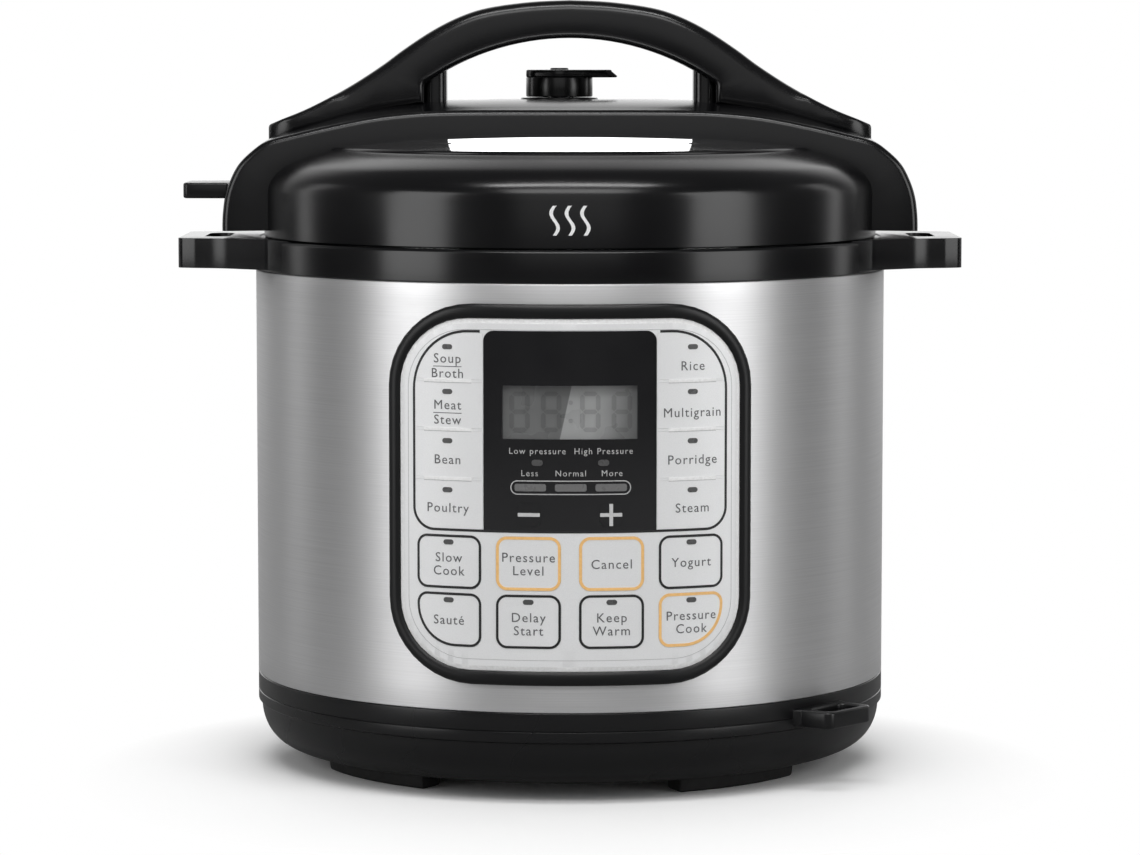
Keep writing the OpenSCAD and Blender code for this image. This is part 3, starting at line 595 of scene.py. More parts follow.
def make_floor():
    """A pale floor that fades into the white behind it, darker in reflections than it looks."""
    disc = bmesh.new()
    bmesh.ops.create_circle(disc, cap_ends=True, segments=96, radius=1.6)
    mesh = bpy.data.meshes.new("floor")
    disc.to_mesh(mesh)
    disc.free()
    floor = bpy.data.objects.new("floor", mesh)
    bpy.context.scene.collection.objects.link(floor)
    paper = Finish("floor_paper", (0.3, 0.3, 0.3), 0.9)
    x, y, _ = paper.split()
    far = paper.distance(x, paper.maths("ADD", y, 0.05))
    seen = paper.node("ShaderNodeBsdfDiffuse", (1.05, 1.05, 1.05, 1)).outputs[0]
    white = paper.node("ShaderNodeEmission").outputs[0]
    fade = paper.node("ShaderNodeMixShader", paper.ranged(far, 0.0, 1.0, (0.13, 0.21)), seen, white)
    paper.for_camera(paper.shader.outputs[0], fade.outputs[0], "Material Output")
    mesh.materials.append(paper.m)


WORLD_SIDE, WORLD_BACK = 0.12, 1.55


def make_world():
    """White behind everything; what the object reflects is dim at the sides and bright at the back."""
    world = bpy.data.worlds.new("studio")
    bpy.context.scene.world = world
    world.use_nodes = True
    sky = Graph(world.node_tree)
    _, y, z = sky.node("ShaderNodeSeparateXYZ", sky.node("ShaderNodeTexCoord").outputs["Generated"]).outputs
    behind = sky.ranged(y, WORLD_SIDE, WORLD_BACK, (0.62, 0.93))
    above = sky.ranged(z, 0.3, 1.0, (-0.02, 0.03))
    lit = sky.tree.nodes["Background"]
    sky.feed(lit.inputs["Color"], (1, 1, 1, 1))
    sky.feed(lit.inputs["Strength"], sky.maths("MULTIPLY", behind, above))
    plain = sky.node("ShaderNodeBackground", (1, 1, 1, 1))
    sky.for_camera(lit.outputs[0], plain.outputs[0], "World Output")


def studio():
    """The camera, the floor, the world and the lights."""
    scene = bpy.context.scene
    scene.view_settings.view_transform = "Standard"
    camera = bpy.data.objects.new("camera", bpy.data.cameras.new("camera"))
    scene.collection.objects.link(camera)
    camera.data.sensor_width, camera.data.lens, camera.data.clip_end = 36, 133.11, 50
    camera.location = (0.0, -1.8305, 0.3087)
    camera.rotation_euler = (math.radians(90 - 5.1757), 0, 0)
    scene.camera = camera
    make_floor()
    make_world()
    middle, high = (0, 0, 0.17), (0, 0, 0.2)
    card = -BRIDGE_HALF * MM - 0.002
    for light in (("left_softbox", around(-56, 1.6, 0.45), middle, 0.7, 1.4, 3.0),
                  ("left_side_strip", around(-112, 1.5, 0.45), middle, 0.2, 1.2, 1.6),
                  ("right_softbox", around(56, 1.6, 0.45), middle, 0.7, 1.4, 3.0),
                  ("right_side_strip", around(112, 1.5, 0.45), middle, 0.2, 1.2, 1.6),
                  ("front_softbox", (0, -2.3, 0.95), high, 1.7, 1.5, 0.55),
                  ("high_front_softbox", (0, -1.35, 1.55), high, 1.3, 0.5, 4.2),
                  ("overhead_softbox", (0, -0.6, 1.7), high, 1.2, 0.2, 13.0),
                  ("lid_card", (0, card, 0.2785), (0, -1, 0.2785), 0.104, 0.022, 2.2)):
        softbox(*light)


studio()


# ----------------------------------------------------------------------- base


def make_base():
    """The bowl-shaped base: a turned shell with vents and the inlet's opening."""
    bowl = [(118 + (BODY_R - 1.5 - 118) * math.cos(a) ** 0.85, 25 - (25 - BASE_LOW) * math.sin(a))
            for a in (math.radians(90 - 5 * i) for i in range(19))]
    outer = [(0, BASE_LOW)] + bowl + filleted(
        [(BODY_R - 1.5, 25), (BODY_R - 1.4, 25.6), (BODY_R, 26.3), (BODY_R, 30.4), (BODY_R - 0.45, 30.7),
         (BODY_R, 31.0), (BODY_R, BAND_LOW - 0.4), (BODY_R - 0.5, BAND_LOW)],
        [0, 0.3, 0.5, 0.15, 0.15, 0.15, 0.3, 0], 3, closed=False)[1:]
    wall = 2.6
    inner = [(BODY_R - 1, BAND_LOW), (BODY_R - 1, BAND_LOW + 5), (BODY_R - 3.6, BAND_LOW + 5),
             (BODY_R - 3.6, 26)]
    inner += [(r - wall, BASE_LOW + wall + (z - BASE_LOW) * 0.87) for r, z in reversed(bowl[1:])]
    shell = turned(outer + inner + [(0, BASE_LOW + wall)], 192)
    cutters = [rotated(box(52, 70, -1.6, 1.6, 0, 14), 15 * i) for i in range(24)]
    cutters += [rotated(moved(tube(0, 5.3, 0, 10, 32), 85), 30 + 120 * i) for i in range(3)]
    cutters.append(box(*INLET_OPENING))
    surround = bevelled(box(-19, 19, 118, BODY_R - 0.05, 10, BAND_LOW - 0.2), 0.8, 2)
    surround = carved(surround, [box(*INLET_OPENING)])
    piece("base_cover", joined([carved(shell, cutters), surround]), SATIN_BLACK, "root",
          ["base_shell"])


def make_feet():
    """Four rubber pads, each a short stretch of a ring with rounded edges."""
    section = filleted([(99, BASE_LOW), (100, 0), (112.4, 0), (113.4, BASE_LOW)], [0, 1.2, 1.4, 0], 4)
    pads = []
    half = math.radians(16.5)
    for i in range(4):
        pad = turned(section, 16, start=math.radians(40.5 + 90 * i) - half, angle=2 * half)
        ends = [e for e in crisp_edges(pad, 50) if e.calc_length() < 16
                and abs(sum(v.co.z for v in e.verts)) < BASE_LOW * 1.9]
        bevelled(pad, 0.9, 2, edges=ends)
        pads.append(pad)
    piece("feet", joined(pads), RUBBER, "root", ["base_feet"])


def make_band():
    """The steel band, hemmed at both edges, open for the cup's bay and behind the panel."""
    profile = filleted([(BODY_R - 0.7, BAND_LOW), (BODY_R - 0.3, BAND_LOW), (BODY_R, BAND_LOW + 0.3),
                        (BODY_R, PANEL_LOW - 0.8), (BODY_R, PANEL_TOP + 0.8),
                        (BODY_R, BAND_TOP - 0.3), (BODY_R - 0.3, BAND_TOP), (BODY_R - 0.7, BAND_TOP)],
                       [0, 0.2, 0.2, 0, 0, 0.2, 0.2, 0], 2)
    band = turned(profile, 256)
    opening = [(PLATE_R * math.sin(s / PLATE_R), z) for s, z in panel_outline(3.0)]
    front = moved(slab(opening, 100), y=-160)
    band = carved(band, [box(*BAY_OPENING), front])
    piece("steel_band", band, BAND_STEEL, "root", ["body_band"], 25)


def make_spoon_holder():
    """A loop on the base that a ladle's handle hangs in."""
    outline = filleted([(-17, 0), (-15.5, 3), (-15, 17.5), (15, 17.5), (15.5, 3), (17, 0), (17, -6),
                        (-17, -6)], [0, 2, 4, 4, 2, 0, 0, 0], 6)
    loop = flat_plate(outline, 7.1, 1.0, [round_box(22, 10.5, 3, 5, 0, 9)])
    rotated(moved(loop, z=reach("spoon_holder", 0, "z")), 180)
    piece("spoon_loop", rotated(moved(loop, y=-BODY_R + 0.8), 50), SATIN_BLACK, "root",
          ["spoon_holder"])


# -------------------------------------------------------------- ring, handles


def side_handle():
    """One carrying handle, drawn for +X: flared root, round tip and an upright slot."""
    low = reach("top_ring", 0, "z") + 4.3
    half = filleted([(118, 66), (128, 52.5), (149, 37), (160, 34.5), (HANDLE_TIP, 31.5), (HANDLE_TIP, 0)],
                    [0, 9, 22, 8, 4.5, 0], 8, closed=False)
    outline = half[:-1] + [(x, -y) for x, y in reversed(half[:-1])]
    slot = round_box(10.8, 36, 4.9, 6, 152, 0)
    bm = moved(sheet_with_holes(outline, [slot], floor_plane), z=low)
    thickened(bm, RING_TOP - low, (0, 0, 1))
    bmesh.ops.dissolve_limit(bm, angle_limit=0.001, verts=bm.verts[:], edges=bm.edges[:])
    bevelled(bm, 1.2, 4, 60)
    return bm


def make_top_ring():
    """The ring that closes the body, with a carrying handle on each side."""
    ring = turned(filleted(
        [(BODY_R - 3, BAND_TOP), (BODY_R - 0.4, BAND_TOP), (BODY_R, BAND_TOP + 0.5), (BODY_R, 225.6),
         (BODY_R - 0.9, 226.5), (BODY_R - 7, 226.5), (BODY_R - 7, 223.7), (BODY_R - 3, 223.7)],
        [0, 0.2, 0.3, 0.9, 0.8, 0.4, 0, 0], 4), 192)
    handles = [carved(handle, [tube(0, BODY_R - 1.5, 200, 240, 128)])
               for handle in (side_handle(), rotated(side_handle(), 180))]
    piece("top_ring_and_handles", joined([ring, *handles]), GLOSS_BLACK, "root",
          ["top_ring"], 32)


# ------------------------------------------------------------------------ lid


STEP_R, STEP_W, STEP_LOW, STEP_TOP = 78.3, 2.3, 267.7, 268.2


def dome_height(r):
    """Height of the steel lid: a nearly flat rim, a step, and a crowned middle."""
    if r >= STEP_R + STEP_W:
        out = (r - STEP_R - STEP_W) / (DOME_EDGE_R - STEP_R - STEP_W)
        return STEP_LOW - (STEP_LOW - DOME_TOP + DOME_DROP) * out ** 1.3
    if r > STEP_R:
        return STEP_TOP - (STEP_TOP - STEP_LOW) * (r - STEP_R) / STEP_W
    return DOME_TOP - (DOME_TOP - STEP_TOP) * (r / STEP_R) ** 2


RING_SHOULDER = [(LID_R, 246.6), (LID_R - 0.5, 249.4), (LID_R - 2.2, 252.6), (LID_R - 5.2, 255.8),
                 (LID_R - 9.4, 258.5), (LID_R - 17.4, 261.6), (107.2, 263.9), (105.6, 264.8)]
RING_CURVE = smooth_curve(RING_SHOULDER, 5)


def lid_surface(r):
    """Height of the closed lid's outer surface at a distance from its axis."""
    if r <= DOME_EDGE_R:
        return dome_height(r)
    for (r1, z1), (r2, z2) in zip(RING_CURVE, RING_CURVE[1:]):
        if r2 <= r <= r1:
            return z1 + (z2 - z1) * (r1 - r) / max(1e-6, r1 - r2)
    return 265.4 if r < 110 else -1.0


def make_lid_cover():
    """The lid's black cover ring, with a thin raised lip round the steel."""
    lip = dome_height(DOME_EDGE_R) + 0.6
    inner = [(103.6, lip - 0.55), (106.0, lip - 0.7), (106.0, 260.4), (LID_R - 17.6, 258.4),
             (LID_R - 10, 255.2), (LID_R - 5.2, 251.5), (LID_R - 2.6, 246)]
    profile = filleted([(LID_R - 2.6, LID_LOW), (LID_R - 0.5, LID_LOW), (LID_R, LID_LOW + 0.6)],
                       [0, 0.2, 0.4], 3, closed=False)
    profile += RING_CURVE + [(105.2, 265.2), (104.6, lip + 0.05), (104.1, lip), (103.6, lip - 0.3)] + inner
    piece("lid_cover_ring", turned(profile, 224), GLOSS_BLACK, "lid", ["lid_ring"], 30)


def lug_ring(*section):
    """The bayonet lugs: short stretches of a tube, evenly round the axis."""
    starts = (math.radians(360 / LUG_COUNT * i - LUG_ANGLE / 2) for i in range(LUG_COUNT))
    return [bevelled(tube(*section, 10, start=start, angle=math.radians(LUG_ANGLE)), 0.4, 2)
            for start in starts]


def make_steel_lid():
    """The pressed steel lid: dome, wall, ledge for the seal, skirt and bayonet lugs."""
    t = 1.2
    step = filleted([(STEP_R - 3, dome_height(STEP_R - 3)), (STEP_R, STEP_TOP), (STEP_R + STEP_W, STEP_LOW),
                     (STEP_R + STEP_W + 3, dome_height(STEP_R + STEP_W + 3))], [0, 0.9, 0.9, 0], 4,
                    closed=False)
    top = [(r, dome_height(r)) for r in range(0, 75, 6)] + step
    top += [(r, dome_height(r)) for r in (87, 91, 95, 99, DOME_EDGE_R)]
    skin = filleted([top[-1], (105.5, dome_height(DOME_EDGE_R) - 0.6), (105.5, 233.5), (120.6, 233.5),
                     (120.6, PAN_LOW + 2.5), (121.6, PAN_LOW + 2.5), (121.6, PAN_LOW), (119.4, PAN_LOW),
                     (119.4, 232.3), (104.3, 232.3), (104.3, dome_height(DOME_EDGE_R) - 1.2 - t),
                     (102.6, dome_height(DOME_EDGE_R) - t)],
                    [0, 1.5, 2.2, 2.2, 0.5, 0.5, 0.5, 0.5, 1.4, 2.6, 2.0, 0], 5, closed=False)
    under = [(r * 0.99, z - t) for r, z in reversed(top[:-1])]
    pan = turned(top[:-1] + skin + under, 192)
    lugs = lug_ring(120.9, 124.2, PAN_LOW + 0.2, PAN_LOW + 2.3)
    piece("steel_lid", joined([pan, *lugs]), LID_STEEL, "lid", ["lid_pan"], 30)


def bridge_line():
    """The bridge's outer line seen from the front, from one ear over the lid to the other."""
    right = [(0, 281.4), (30, 281.4), (52, 281.2), (66, 280.6), (84, 278.6), (104, 274.6), (118, 271.3),
             (129, 268.4), (135.9, 264.2), (142.4, 258.2), (146.4, 251.2), (148.7, 244.6),
             (149.7, 238), (EAR_X, 233), (EAR_X, EAR_LOW + 0.3)]
    right = [(x - 1.3 * max(0.0, x - 130) / 20, z) for x, z in right]
    half = smooth_curve(right, 5)
    return [(-x, z) for x, z in reversed(half[1:])] + half


def under_bridge(x, z, nx, nz, y):
    """How deep the bridge is at a point, along its inward direction, before it meets the lid."""
    depth = 0.0
    while depth < 21.0:
        px, pz = x + nx * depth, z + nz * depth
        r = math.hypot(px, y)
        if r < LID_R + 0.05 and pz < (lid_surface(r) if r < LID_R - 0.3 else 246.6):
            return depth
        depth += 0.25
    return 17.4


def make_bridge():
    """The bridge: a crowned strap over the lid with an ear at each end, and a pad for the valves."""
    line = bridge_line()
    # Across the strap: the way from the front edge and how high it stands over the outer line
    edge, crown = 3.0, 4.1
    across = [(-BRIDGE_HALF, -edge), (-BRIDGE_HALF + 0.25, -edge * 0.62), (-BRIDGE_HALF + 0.9, -edge * 0.3),
              (-BRIDGE_HALF + 1.8, -edge * 0.08), (-BRIDGE_HALF + edge, 0.0)]
    inside = [(-BRIDGE_HALF + 3 + (BRIDGE_HALF - 3) * i / 8) for i in range(1, 9)]
    across += [(y, crown * (1 - (y / (BRIDGE_HALF - 3)) ** 2)) for y in inside]
    across += [(-y, h) for y, h in reversed(across[:-1])]
    bm = bmesh.new()
    rows = []
    # At each point of the line, the strap's section from its top down to the lid
    for i, (x, z) in enumerate(line):
        a, b = line[max(0, i - 1)], line[min(len(line) - 1, i + 1)]
        tangent = Vector((b[0] - a[0], b[1] - a[1])).normalized()
        nx, nz = tangent.y, -tangent.x
        rise = max(0.0, min(1.0, (136 - abs(x)) / 40))
        top, bottom = [], []
        for y, h in across:
            lift = h * (rise if h > 0 else 1.0)
            top.append(bm.verts.new((x - nx * lift, y, z - nz * lift)))
            depth = max(edge + 0.2, under_bridge(x, z, nx, nz, y))
            bottom.append(bm.verts.new((x + nx * depth, y, z + nz * depth)))
        rows.append(top + bottom[::-1])
    for a, b in zip(rows, rows[1:]):
        bridged(bm, a, b)
    bm.faces.new(rows[0])
    bm.faces.new(rows[-1])
    bmesh.ops.recalc_face_normals(bm, faces=bm.faces[:])
    pad = moved(flat_plate(round_box(80, 46, 11, 8, 4, 33), 19.5), z=265.5)
    rim = [e for e in crisp_edges(pad, 60) if min(v.co.z for v in e.verts) > 284]
    bevelled(pad, 2.2, 5, edges=rim)
    wells = [(KNOB_X, KNOB_Y, 9.0, 9.0, 260), (FLOAT_X, FLOAT_Y, 7.2, 4.5, 268.2)]

    def well(x, y, wide, narrow, step):
        sides = [(0, 250), (wide, 250), (wide, step), (narrow, step), (narrow, 300), (0, 300)]
        return moved(turned(sides, 48), x, y)

    strap, pad = [carved(shape, [well(*each) for each in wells]) for shape in (bm, pad)]
    seat = filleted([(9.0, 284.8), (17, 284.8), (17, 286), (9.0, 286)], [0, 0, 0.5, 0.3], 3)
    seat = moved(turned(seat, 64), KNOB_X, KNOB_Y)
    piece("lid_bridge", joined([strap, pad, seat]), GLOSS_BLACK, "lid",
          ["handle_bridge"], 32)


def inset(outline, distance):
    """An anticlockwise outline moved inwards, at each point by distance(point)."""
    out, n = [], len(outline)
    for i, p in enumerate(outline):
        here = Vector(p)
        a, b = here - Vector(outline[i - 1]), Vector(outline[(i + 1) % n]) - here
        a.normalize()
        b.normalize()
        turn = (a + b).normalized()
        stretch = min(1.6, 1 / max(0.4, turn.dot(a)))
        d = distance(p) * stretch
        out.append((here.x - turn.y * d, here.y + turn.x * d))
    return out


def pillow(outline, depth, radius, steps=6):
    """A thick plate, its middle at y = 0, whose rims are rounded by radius(point)."""
    bm = bmesh.new()
    rings = []
    for side in (-1, 1):
        angles = [math.radians(90 * k / steps) for k in range(steps + 1)]
        for a in (angles[::-1] if side < 0 else angles):
            moved_in = inset(outline, lambda p, a=a: radius(p) * (1 - math.cos(a)))
            rings.append([bm.verts.new((u, side * (depth / 2 - radius(p) * (1 - math.sin(a))), v))
                          for (u, v), p in zip(moved_in, outline)])
    for lower, upper in zip(rings, rings[1:]):
        bridged(bm, lower, upper)
    for ring in (rings[0], rings[-1]):
        edges = [bm.edges.get(pair) for pair in zip(ring, ring[1:] + ring[:1])]
        bmesh.ops.triangle_fill(bm, edges=edges, use_beauty=True)
    bmesh.ops.recalc_face_normals(bm, faces=bm.faces[:])
    return bm


def make_grip():
    """The arched grip with its webs and the two posts under the arch."""
    outer = smooth_curve([(0, GRIP_TOP), (16.8, 327.5), (35.1, 325), (47.3, 321.2), (59.4, 315.1),
                          (71.6, 307.1), (81.4, 299.9), (96, 290.6), (112, 282.2), (124, 277.2)], 5)
    tip = filleted([(124, 277.2), (130.1, 274.6), (130.1, 268.6), (126, 268.9)], [0, 1.8, 0, 0], 4,
                   closed=False)[1:]
    foot = [(118, 271.4), (104, 274.8), (84, 279.0), (66, 283.6)]
    arc_r, crest, wide = 109.5, 312.0, 62.5

    def under(x):
        return crest - arc_r + math.sqrt(arc_r * arc_r - x * x)

    mouth = filleted([(wide, 283.8), (wide, under(wide)), (53, under(53))], [0, 2.0, 0], 4, closed=False)
    ceiling = [(x, under(x)) for x in (53 - 53 * i / 12 for i in range(1, 13))]
    half = outer + tip + foot + mouth + ceiling
    outline = [(-x, z) for x, z in half[1:-1]] + [half[-1]] + half[-2:0:-1] + [half[0]]

    def rounding(p):
        x = abs(p[0])
        on_top = p[1] > GRIP_TOP - 55 and p[1] > under(min(x, 105.0)) + 3
        wanted = 5.4 if on_top and x < 100 else 3.2
        return min(wanted, 1.2 + 2.0 * max(0.0, 125 - x) / 9)

    bm = pillow(outline, 2 * GRIP_HALF, rounding)
    for v in bm.verts:
        past = (abs(v.co.x) - 114.0) / 16.2
        if past > 0:
            v.co.y *= 1 - 0.62 * (1 - math.sqrt(max(0.0, 1 - min(1.0, past) ** 2)))
    posts = []
    for side in (-1, 1):
        posts.append(moved(flat_plate(round_box(9.4, 22, 3.9, 6, side * 58.0, 0), 18), z=281.5))
    piece("lid_grip", joined([bm, *posts]), GLOSS_BLACK, "lid", ["handle_grip"], 35)


def make_fin():
    """The fin on the left ear, which drops into a handle's slot to park the lid."""
    outline = filleted([(-EAR_X + 3, -17), (-FIN_TIP + 1, -15.8), (-FIN_TIP, -14), (-FIN_TIP, 14),
                        (-FIN_TIP + 1, 15.8), (-EAR_X + 3, 17)], [0, 2, 2, 2, 2, 0], 4)
    fin = flat_plate(outline, 6.7, 0.9)
    piece("parking_fin", moved(fin, z=reach("lid_fin", 0, "z")), SATIN_BLACK, "lid",
          ["lid_fin"])


def make_knob():
    """The steam release knob: a barrel, a lever plate with a slanted tip, and a small crown."""
    low = reach("steam_knob", 0, "z")
    barrel = turned(filleted([(9.3, low), (14.65, low), (14.65, 295.0), (0, 295.0), (0, 294.2),
                              (9.3, 294.2)], [0.2, 0.6, 0.4, 0, 0, 0], 4), 96)
    near = [(-14.6, -5), (-12, -9.5), (0, -13.65), (11, -10), (22.5, -7), (25.5, -4.6)]
    radii = [4, 6, 10, 12, 3, 2]
    plate = filleted(near + [(x, -y) for x, y in reversed(near)], radii + radii[::-1], 5)
    lever = flat_plate(plate, 3.4, 0.7)
    for v in lever.verts:
        if v.co.x > 20 and v.co.z > 1.6:
            v.co.x -= 2.4
    moved(lever, z=294.8)
    crown = turned(filleted([(0, 297.6), (4.2, 297.6), (4.0, 299.0), (0, 299.0)], [0, 0, 0.6, 0], 4), 48)
    knob = moved(joined([barrel, lever, crown]), KNOB_X, KNOB_Y)
    piece("steam_release_knob", knob, GLOSS_BLACK, "knob", ["steam_knob"], 30)


def make_steam_mark():
    """Three wavy lines printed on the lid's cover ring."""
    waves = []
    for k in (-1, 0, 1):
        middle = [(k * 6.2 + 1.4 * math.sin(t * TURN / 12), -6 + t) for t in (i * 0.75 for i in range(17))]
        left, right = ([(x + way, z) for x, z in middle] for way in (-0.75, 0.75))
        waves.append(slab(left + right[::-1], 0.06))
    mark = moved(joined(waves), z=238.5)
    for v in mark.verts:
        a, r = v.co.x / LID_R, LID_R + 0.07 - v.co.y
        v.co = (r * math.sin(a), -r * math.cos(a), v.co.z)
    piece("steam_mark", mark, INK_WHITE, "lid")


# -------------------------------------------------------------- control panel


def panel_outline(inset, longest=3.0):
    """The panel's outline, moved in by an inset, laid out along the body's curve."""
    flat = round_box(2 * (PANEL_HALF_W - 0.8 * inset), PANEL_TOP - PANEL_LOW - 2 * inset,
                     PANEL_CORNER - inset, 10, 0, PANEL_MID)
    return [(along_body(x), z) for x, z in divided(flat, longest)]


def key_outline(name, grow=0.0):
    """A key's outline on the flat panel, with its own corner radii, grown by a margin."""
    s, z, w, h, corners = KEYS[name][:5]
    x0, x1, z0, z1 = s - w / 2 - grow, s + w / 2 + grow, z - h / 2 - grow, z + h / 2 + grow
    deep = max(0.0, max(corners) + grow + 1 - h)
    square = [(x1, z1), (x0, z1), (x0, z0 - deep), (x1, z0 - deep)]
    outline = filleted(square, [r + grow for r in corners], 12)
    return divided(kept_above(outline, z0) if deep else outline, 1.5)


def kept_above(outline, lowest):
    """The part of an outline above a height, closed along that height."""
    out = []
    for (x0, z0), (x1, z1) in zip(outline, outline[1:] + outline[:1]):
        if z0 >= lowest:
            out.append((x0, z0))
        if (z0 - lowest) * (z1 - lowest) < 0:
            out.append((x0 + (lowest - z0) / (z1 - z0) * (x1 - x0), lowest))
    return out


def level_line(start, end, z, longest):
    """A level path along the panel, cut up so that it can follow the curve."""
    return divided([(start, z), (end, z)], longest, closed=False)


def ribbon(path, width, height, closed=False):
    """A thin raised line along a path on the flat panel."""
    n = len(path)
    sides = ([], [])
    for i in range(n):
        a = Vector(path[(i - 1) % n] if closed or i else path[i])
        b = Vector(path[(i + 1) % n] if closed or i < n - 1 else path[i])
        d = (b - a).normalized()
        p = Vector(path[i])
        for k, line in ((1, sides[0]), (-1, sides[1])):
            line.append((p.x - k * d.y * width / 2, p.y + k * d.x * width / 2))
    bm = bmesh.new()
    left, right = ([bm.verts.new((x, 0, z)) for x, z in line] for line in sides)
    bridged(bm, left, right, closed)
    return thickened(bm, -height)


def words(text, size, spacing, lines=1.07):
    """Lettering, flat on the panel and centred on the origin, as a mesh."""
    curve = bpy.data.curves.new("words", "FONT")
    curve.body, curve.size = text, size
    curve.align_x, curve.align_y = "CENTER", "CENTER"
    curve.space_character, curve.space_line = spacing, lines
    curve.resolution_u, curve.extrude = 3, 0.03
    obj = bpy.data.objects.new("words", curve)
    bpy.context.scene.collection.objects.link(obj)
    bpy.context.view_layer.update()
    bm = bmesh.new()
    bm.from_mesh(obj.evaluated_get(bpy.context.evaluated_depsgraph_get()).to_mesh())
    bpy.data.objects.remove(obj)
    bmesh.ops.remove_doubles(bm, verts=bm.verts[:], dist=0.0005)
    rotated(bm, 90, "X")
    return bm


def pill(s, z, w, h, height=0.12):
    """A raised indicator lens with round ends."""
    sheet = sliced(sheet_with_holes(round_box(w, h, h / 2 - 0.01, 4, s, z)), 1.5)
    return moved(thickened(sheet, height), y=-height)


KEYS = {}
KEY_FACE, KEY_GAP = 0.06, 0.07
WINDOW_HALF = along_body(35.1)
WINDOW_LOW, WINDOW_TOP = 113.2, 194.3
ADJUST_S, ADJUST_Z = 16.7, 119.8
BAR_S, BAR_Z = 0.3, 130.9
GROUP_OUT = along_body(63.4)
GROUP_TOP, GROUP_LOW = 193.9, 112.9
GROUP_CORNER, GROUP_FOOT = 24.0, 9.0
DIVIDER_Z = (173.7, 153.9, 133.8)
DIVIDER_HALF = 10.4
LINE_W = 1.0
LINE_GAP = 0.6


def lay_out_keys():
    """Each key's place, size, corner radii (clockwise from the top right), label, lamp height and line."""
    columns = {-1: (("key_soup", "Soup\nBroth"), ("key_meat_stew", "Meat\nStew"), ("key_beans", "Bean"),
                    ("key_poultry", "Poultry")),
               1: (("key_rice", "Rice"), ("key_multigrain", "Multigrain"), ("key_porridge", "Porridge"),
                   ("key_steam", "Steam"))}
    edges = (GROUP_TOP - LINE_GAP, *DIVIDER_Z, GROUP_LOW + LINE_GAP)
    lamp_z, label_z = (187.4, 169.2, 149.2, 129.2), (179.5, 160.6, 141.4, 121.7)
    inner, outer = WINDOW_HALF + 0.25, GROUP_OUT - LINE_GAP
    for side, column in columns.items():
        for i, (name, label) in enumerate(column):
            high = edges[i] - (0.0 if i == 0 else LINE_GAP)
            low = edges[i + 1] + (0.0 if i == 3 else LINE_GAP)
            radii = [0.6] * 4
            if i == 0:
                radii[0 if side > 0 else 1] = GROUP_CORNER - LINE_GAP
            if i == 3:
                radii[3 if side > 0 else 2] = GROUP_FOOT - LINE_GAP
            KEYS[name] = (side * (inner + outer) / 2, (low + high) / 2, outer - inner, high - low, radii,
                          label, (side * 1.5 * KEY_PITCH, label_z[i]), lamp_z[i], None)
    rows = ((("key_slow_cook", "Slow\nCook", "black"), ("key_pressure_level", "Pressure\nLevel", "amber"),
             ("key_cancel", "Cancel", "amber"), ("key_yogurt", "Yogurt", "black")),
            (("key_saute", "Saut\u00e9", "black"), ("key_delay_start", "Delay\nStart", "black"),
             ("key_keep_warm", "Keep\nWarm", "black"), ("key_pressure_cook", "Pressure\nCook", "amber")))
    for j, (row, z) in enumerate(zip(rows, ROW_Z)):
        for i, (name, label, line) in enumerate(row):
            outer_key = i in (0, 3)
            s = (i - 1.5) * KEY_PITCH * (0.992 if outer_key else 1.0)
            radii = [4.6] * 4
            if outer_key and j == 1:
                radii[2 if i == 0 else 3] = 17.0
            lamp = None if name in ("key_pressure_level", "key_cancel") else z + ROW_H / 2 - 3.0
            drop = 1.2 if lamp and "\n" in label else 0.4
            KEYS[name] = (s, z, KEY_W + (1.1 if outer_key else -0.4), ROW_H, radii, label, (s, z - drop),
                          lamp, line)


lay_out_keys()


def make_bezel():
    """The black bezel round the control panel, rounded over at both rims."""
    outer, inner = panel_outline(0), panel_outline(BEZEL_W)
    bm = bmesh.new()
    rings = []
    # Each point of the section: the share of the way inwards, and the share of the full height
    section = ((0.0, 0.0), (0.0, 0.55), (0.12, 0.82), (0.3, 1.0), (0.7, 1.0), (0.88, 0.86), (1.0, 0.62),
               (1.0, 0.0))
    for across, up in section:
        rings.append([bm.verts.new((a[0] + (b[0] - a[0]) * across, -BEZEL_OUT * up,
                                    a[1] + (b[1] - a[1]) * across)) for a, b in zip(outer, inner)])
    for a, b in zip(rings, rings[1:] + rings[:1]):
        bridged(bm, a, b)
    bmesh.ops.recalc_face_normals(bm, faces=bm.faces[:])
    piece("panel_bezel", wrapped(bm, BODY_R), BEZEL_BLACK, "root", ["panel_frame"], 40)


def window_outline(gap=0.0):
    """The display window's outline on the flat panel, moved in by a gap."""
    half, low, top = WINDOW_HALF - gap, WINDOW_LOW + gap, WINDOW_TOP - gap
    return divided(filleted([(-half, low), (half, low), (half, top), (-half, top)], [0, 0, 4.2, 4.2], 6), 3)


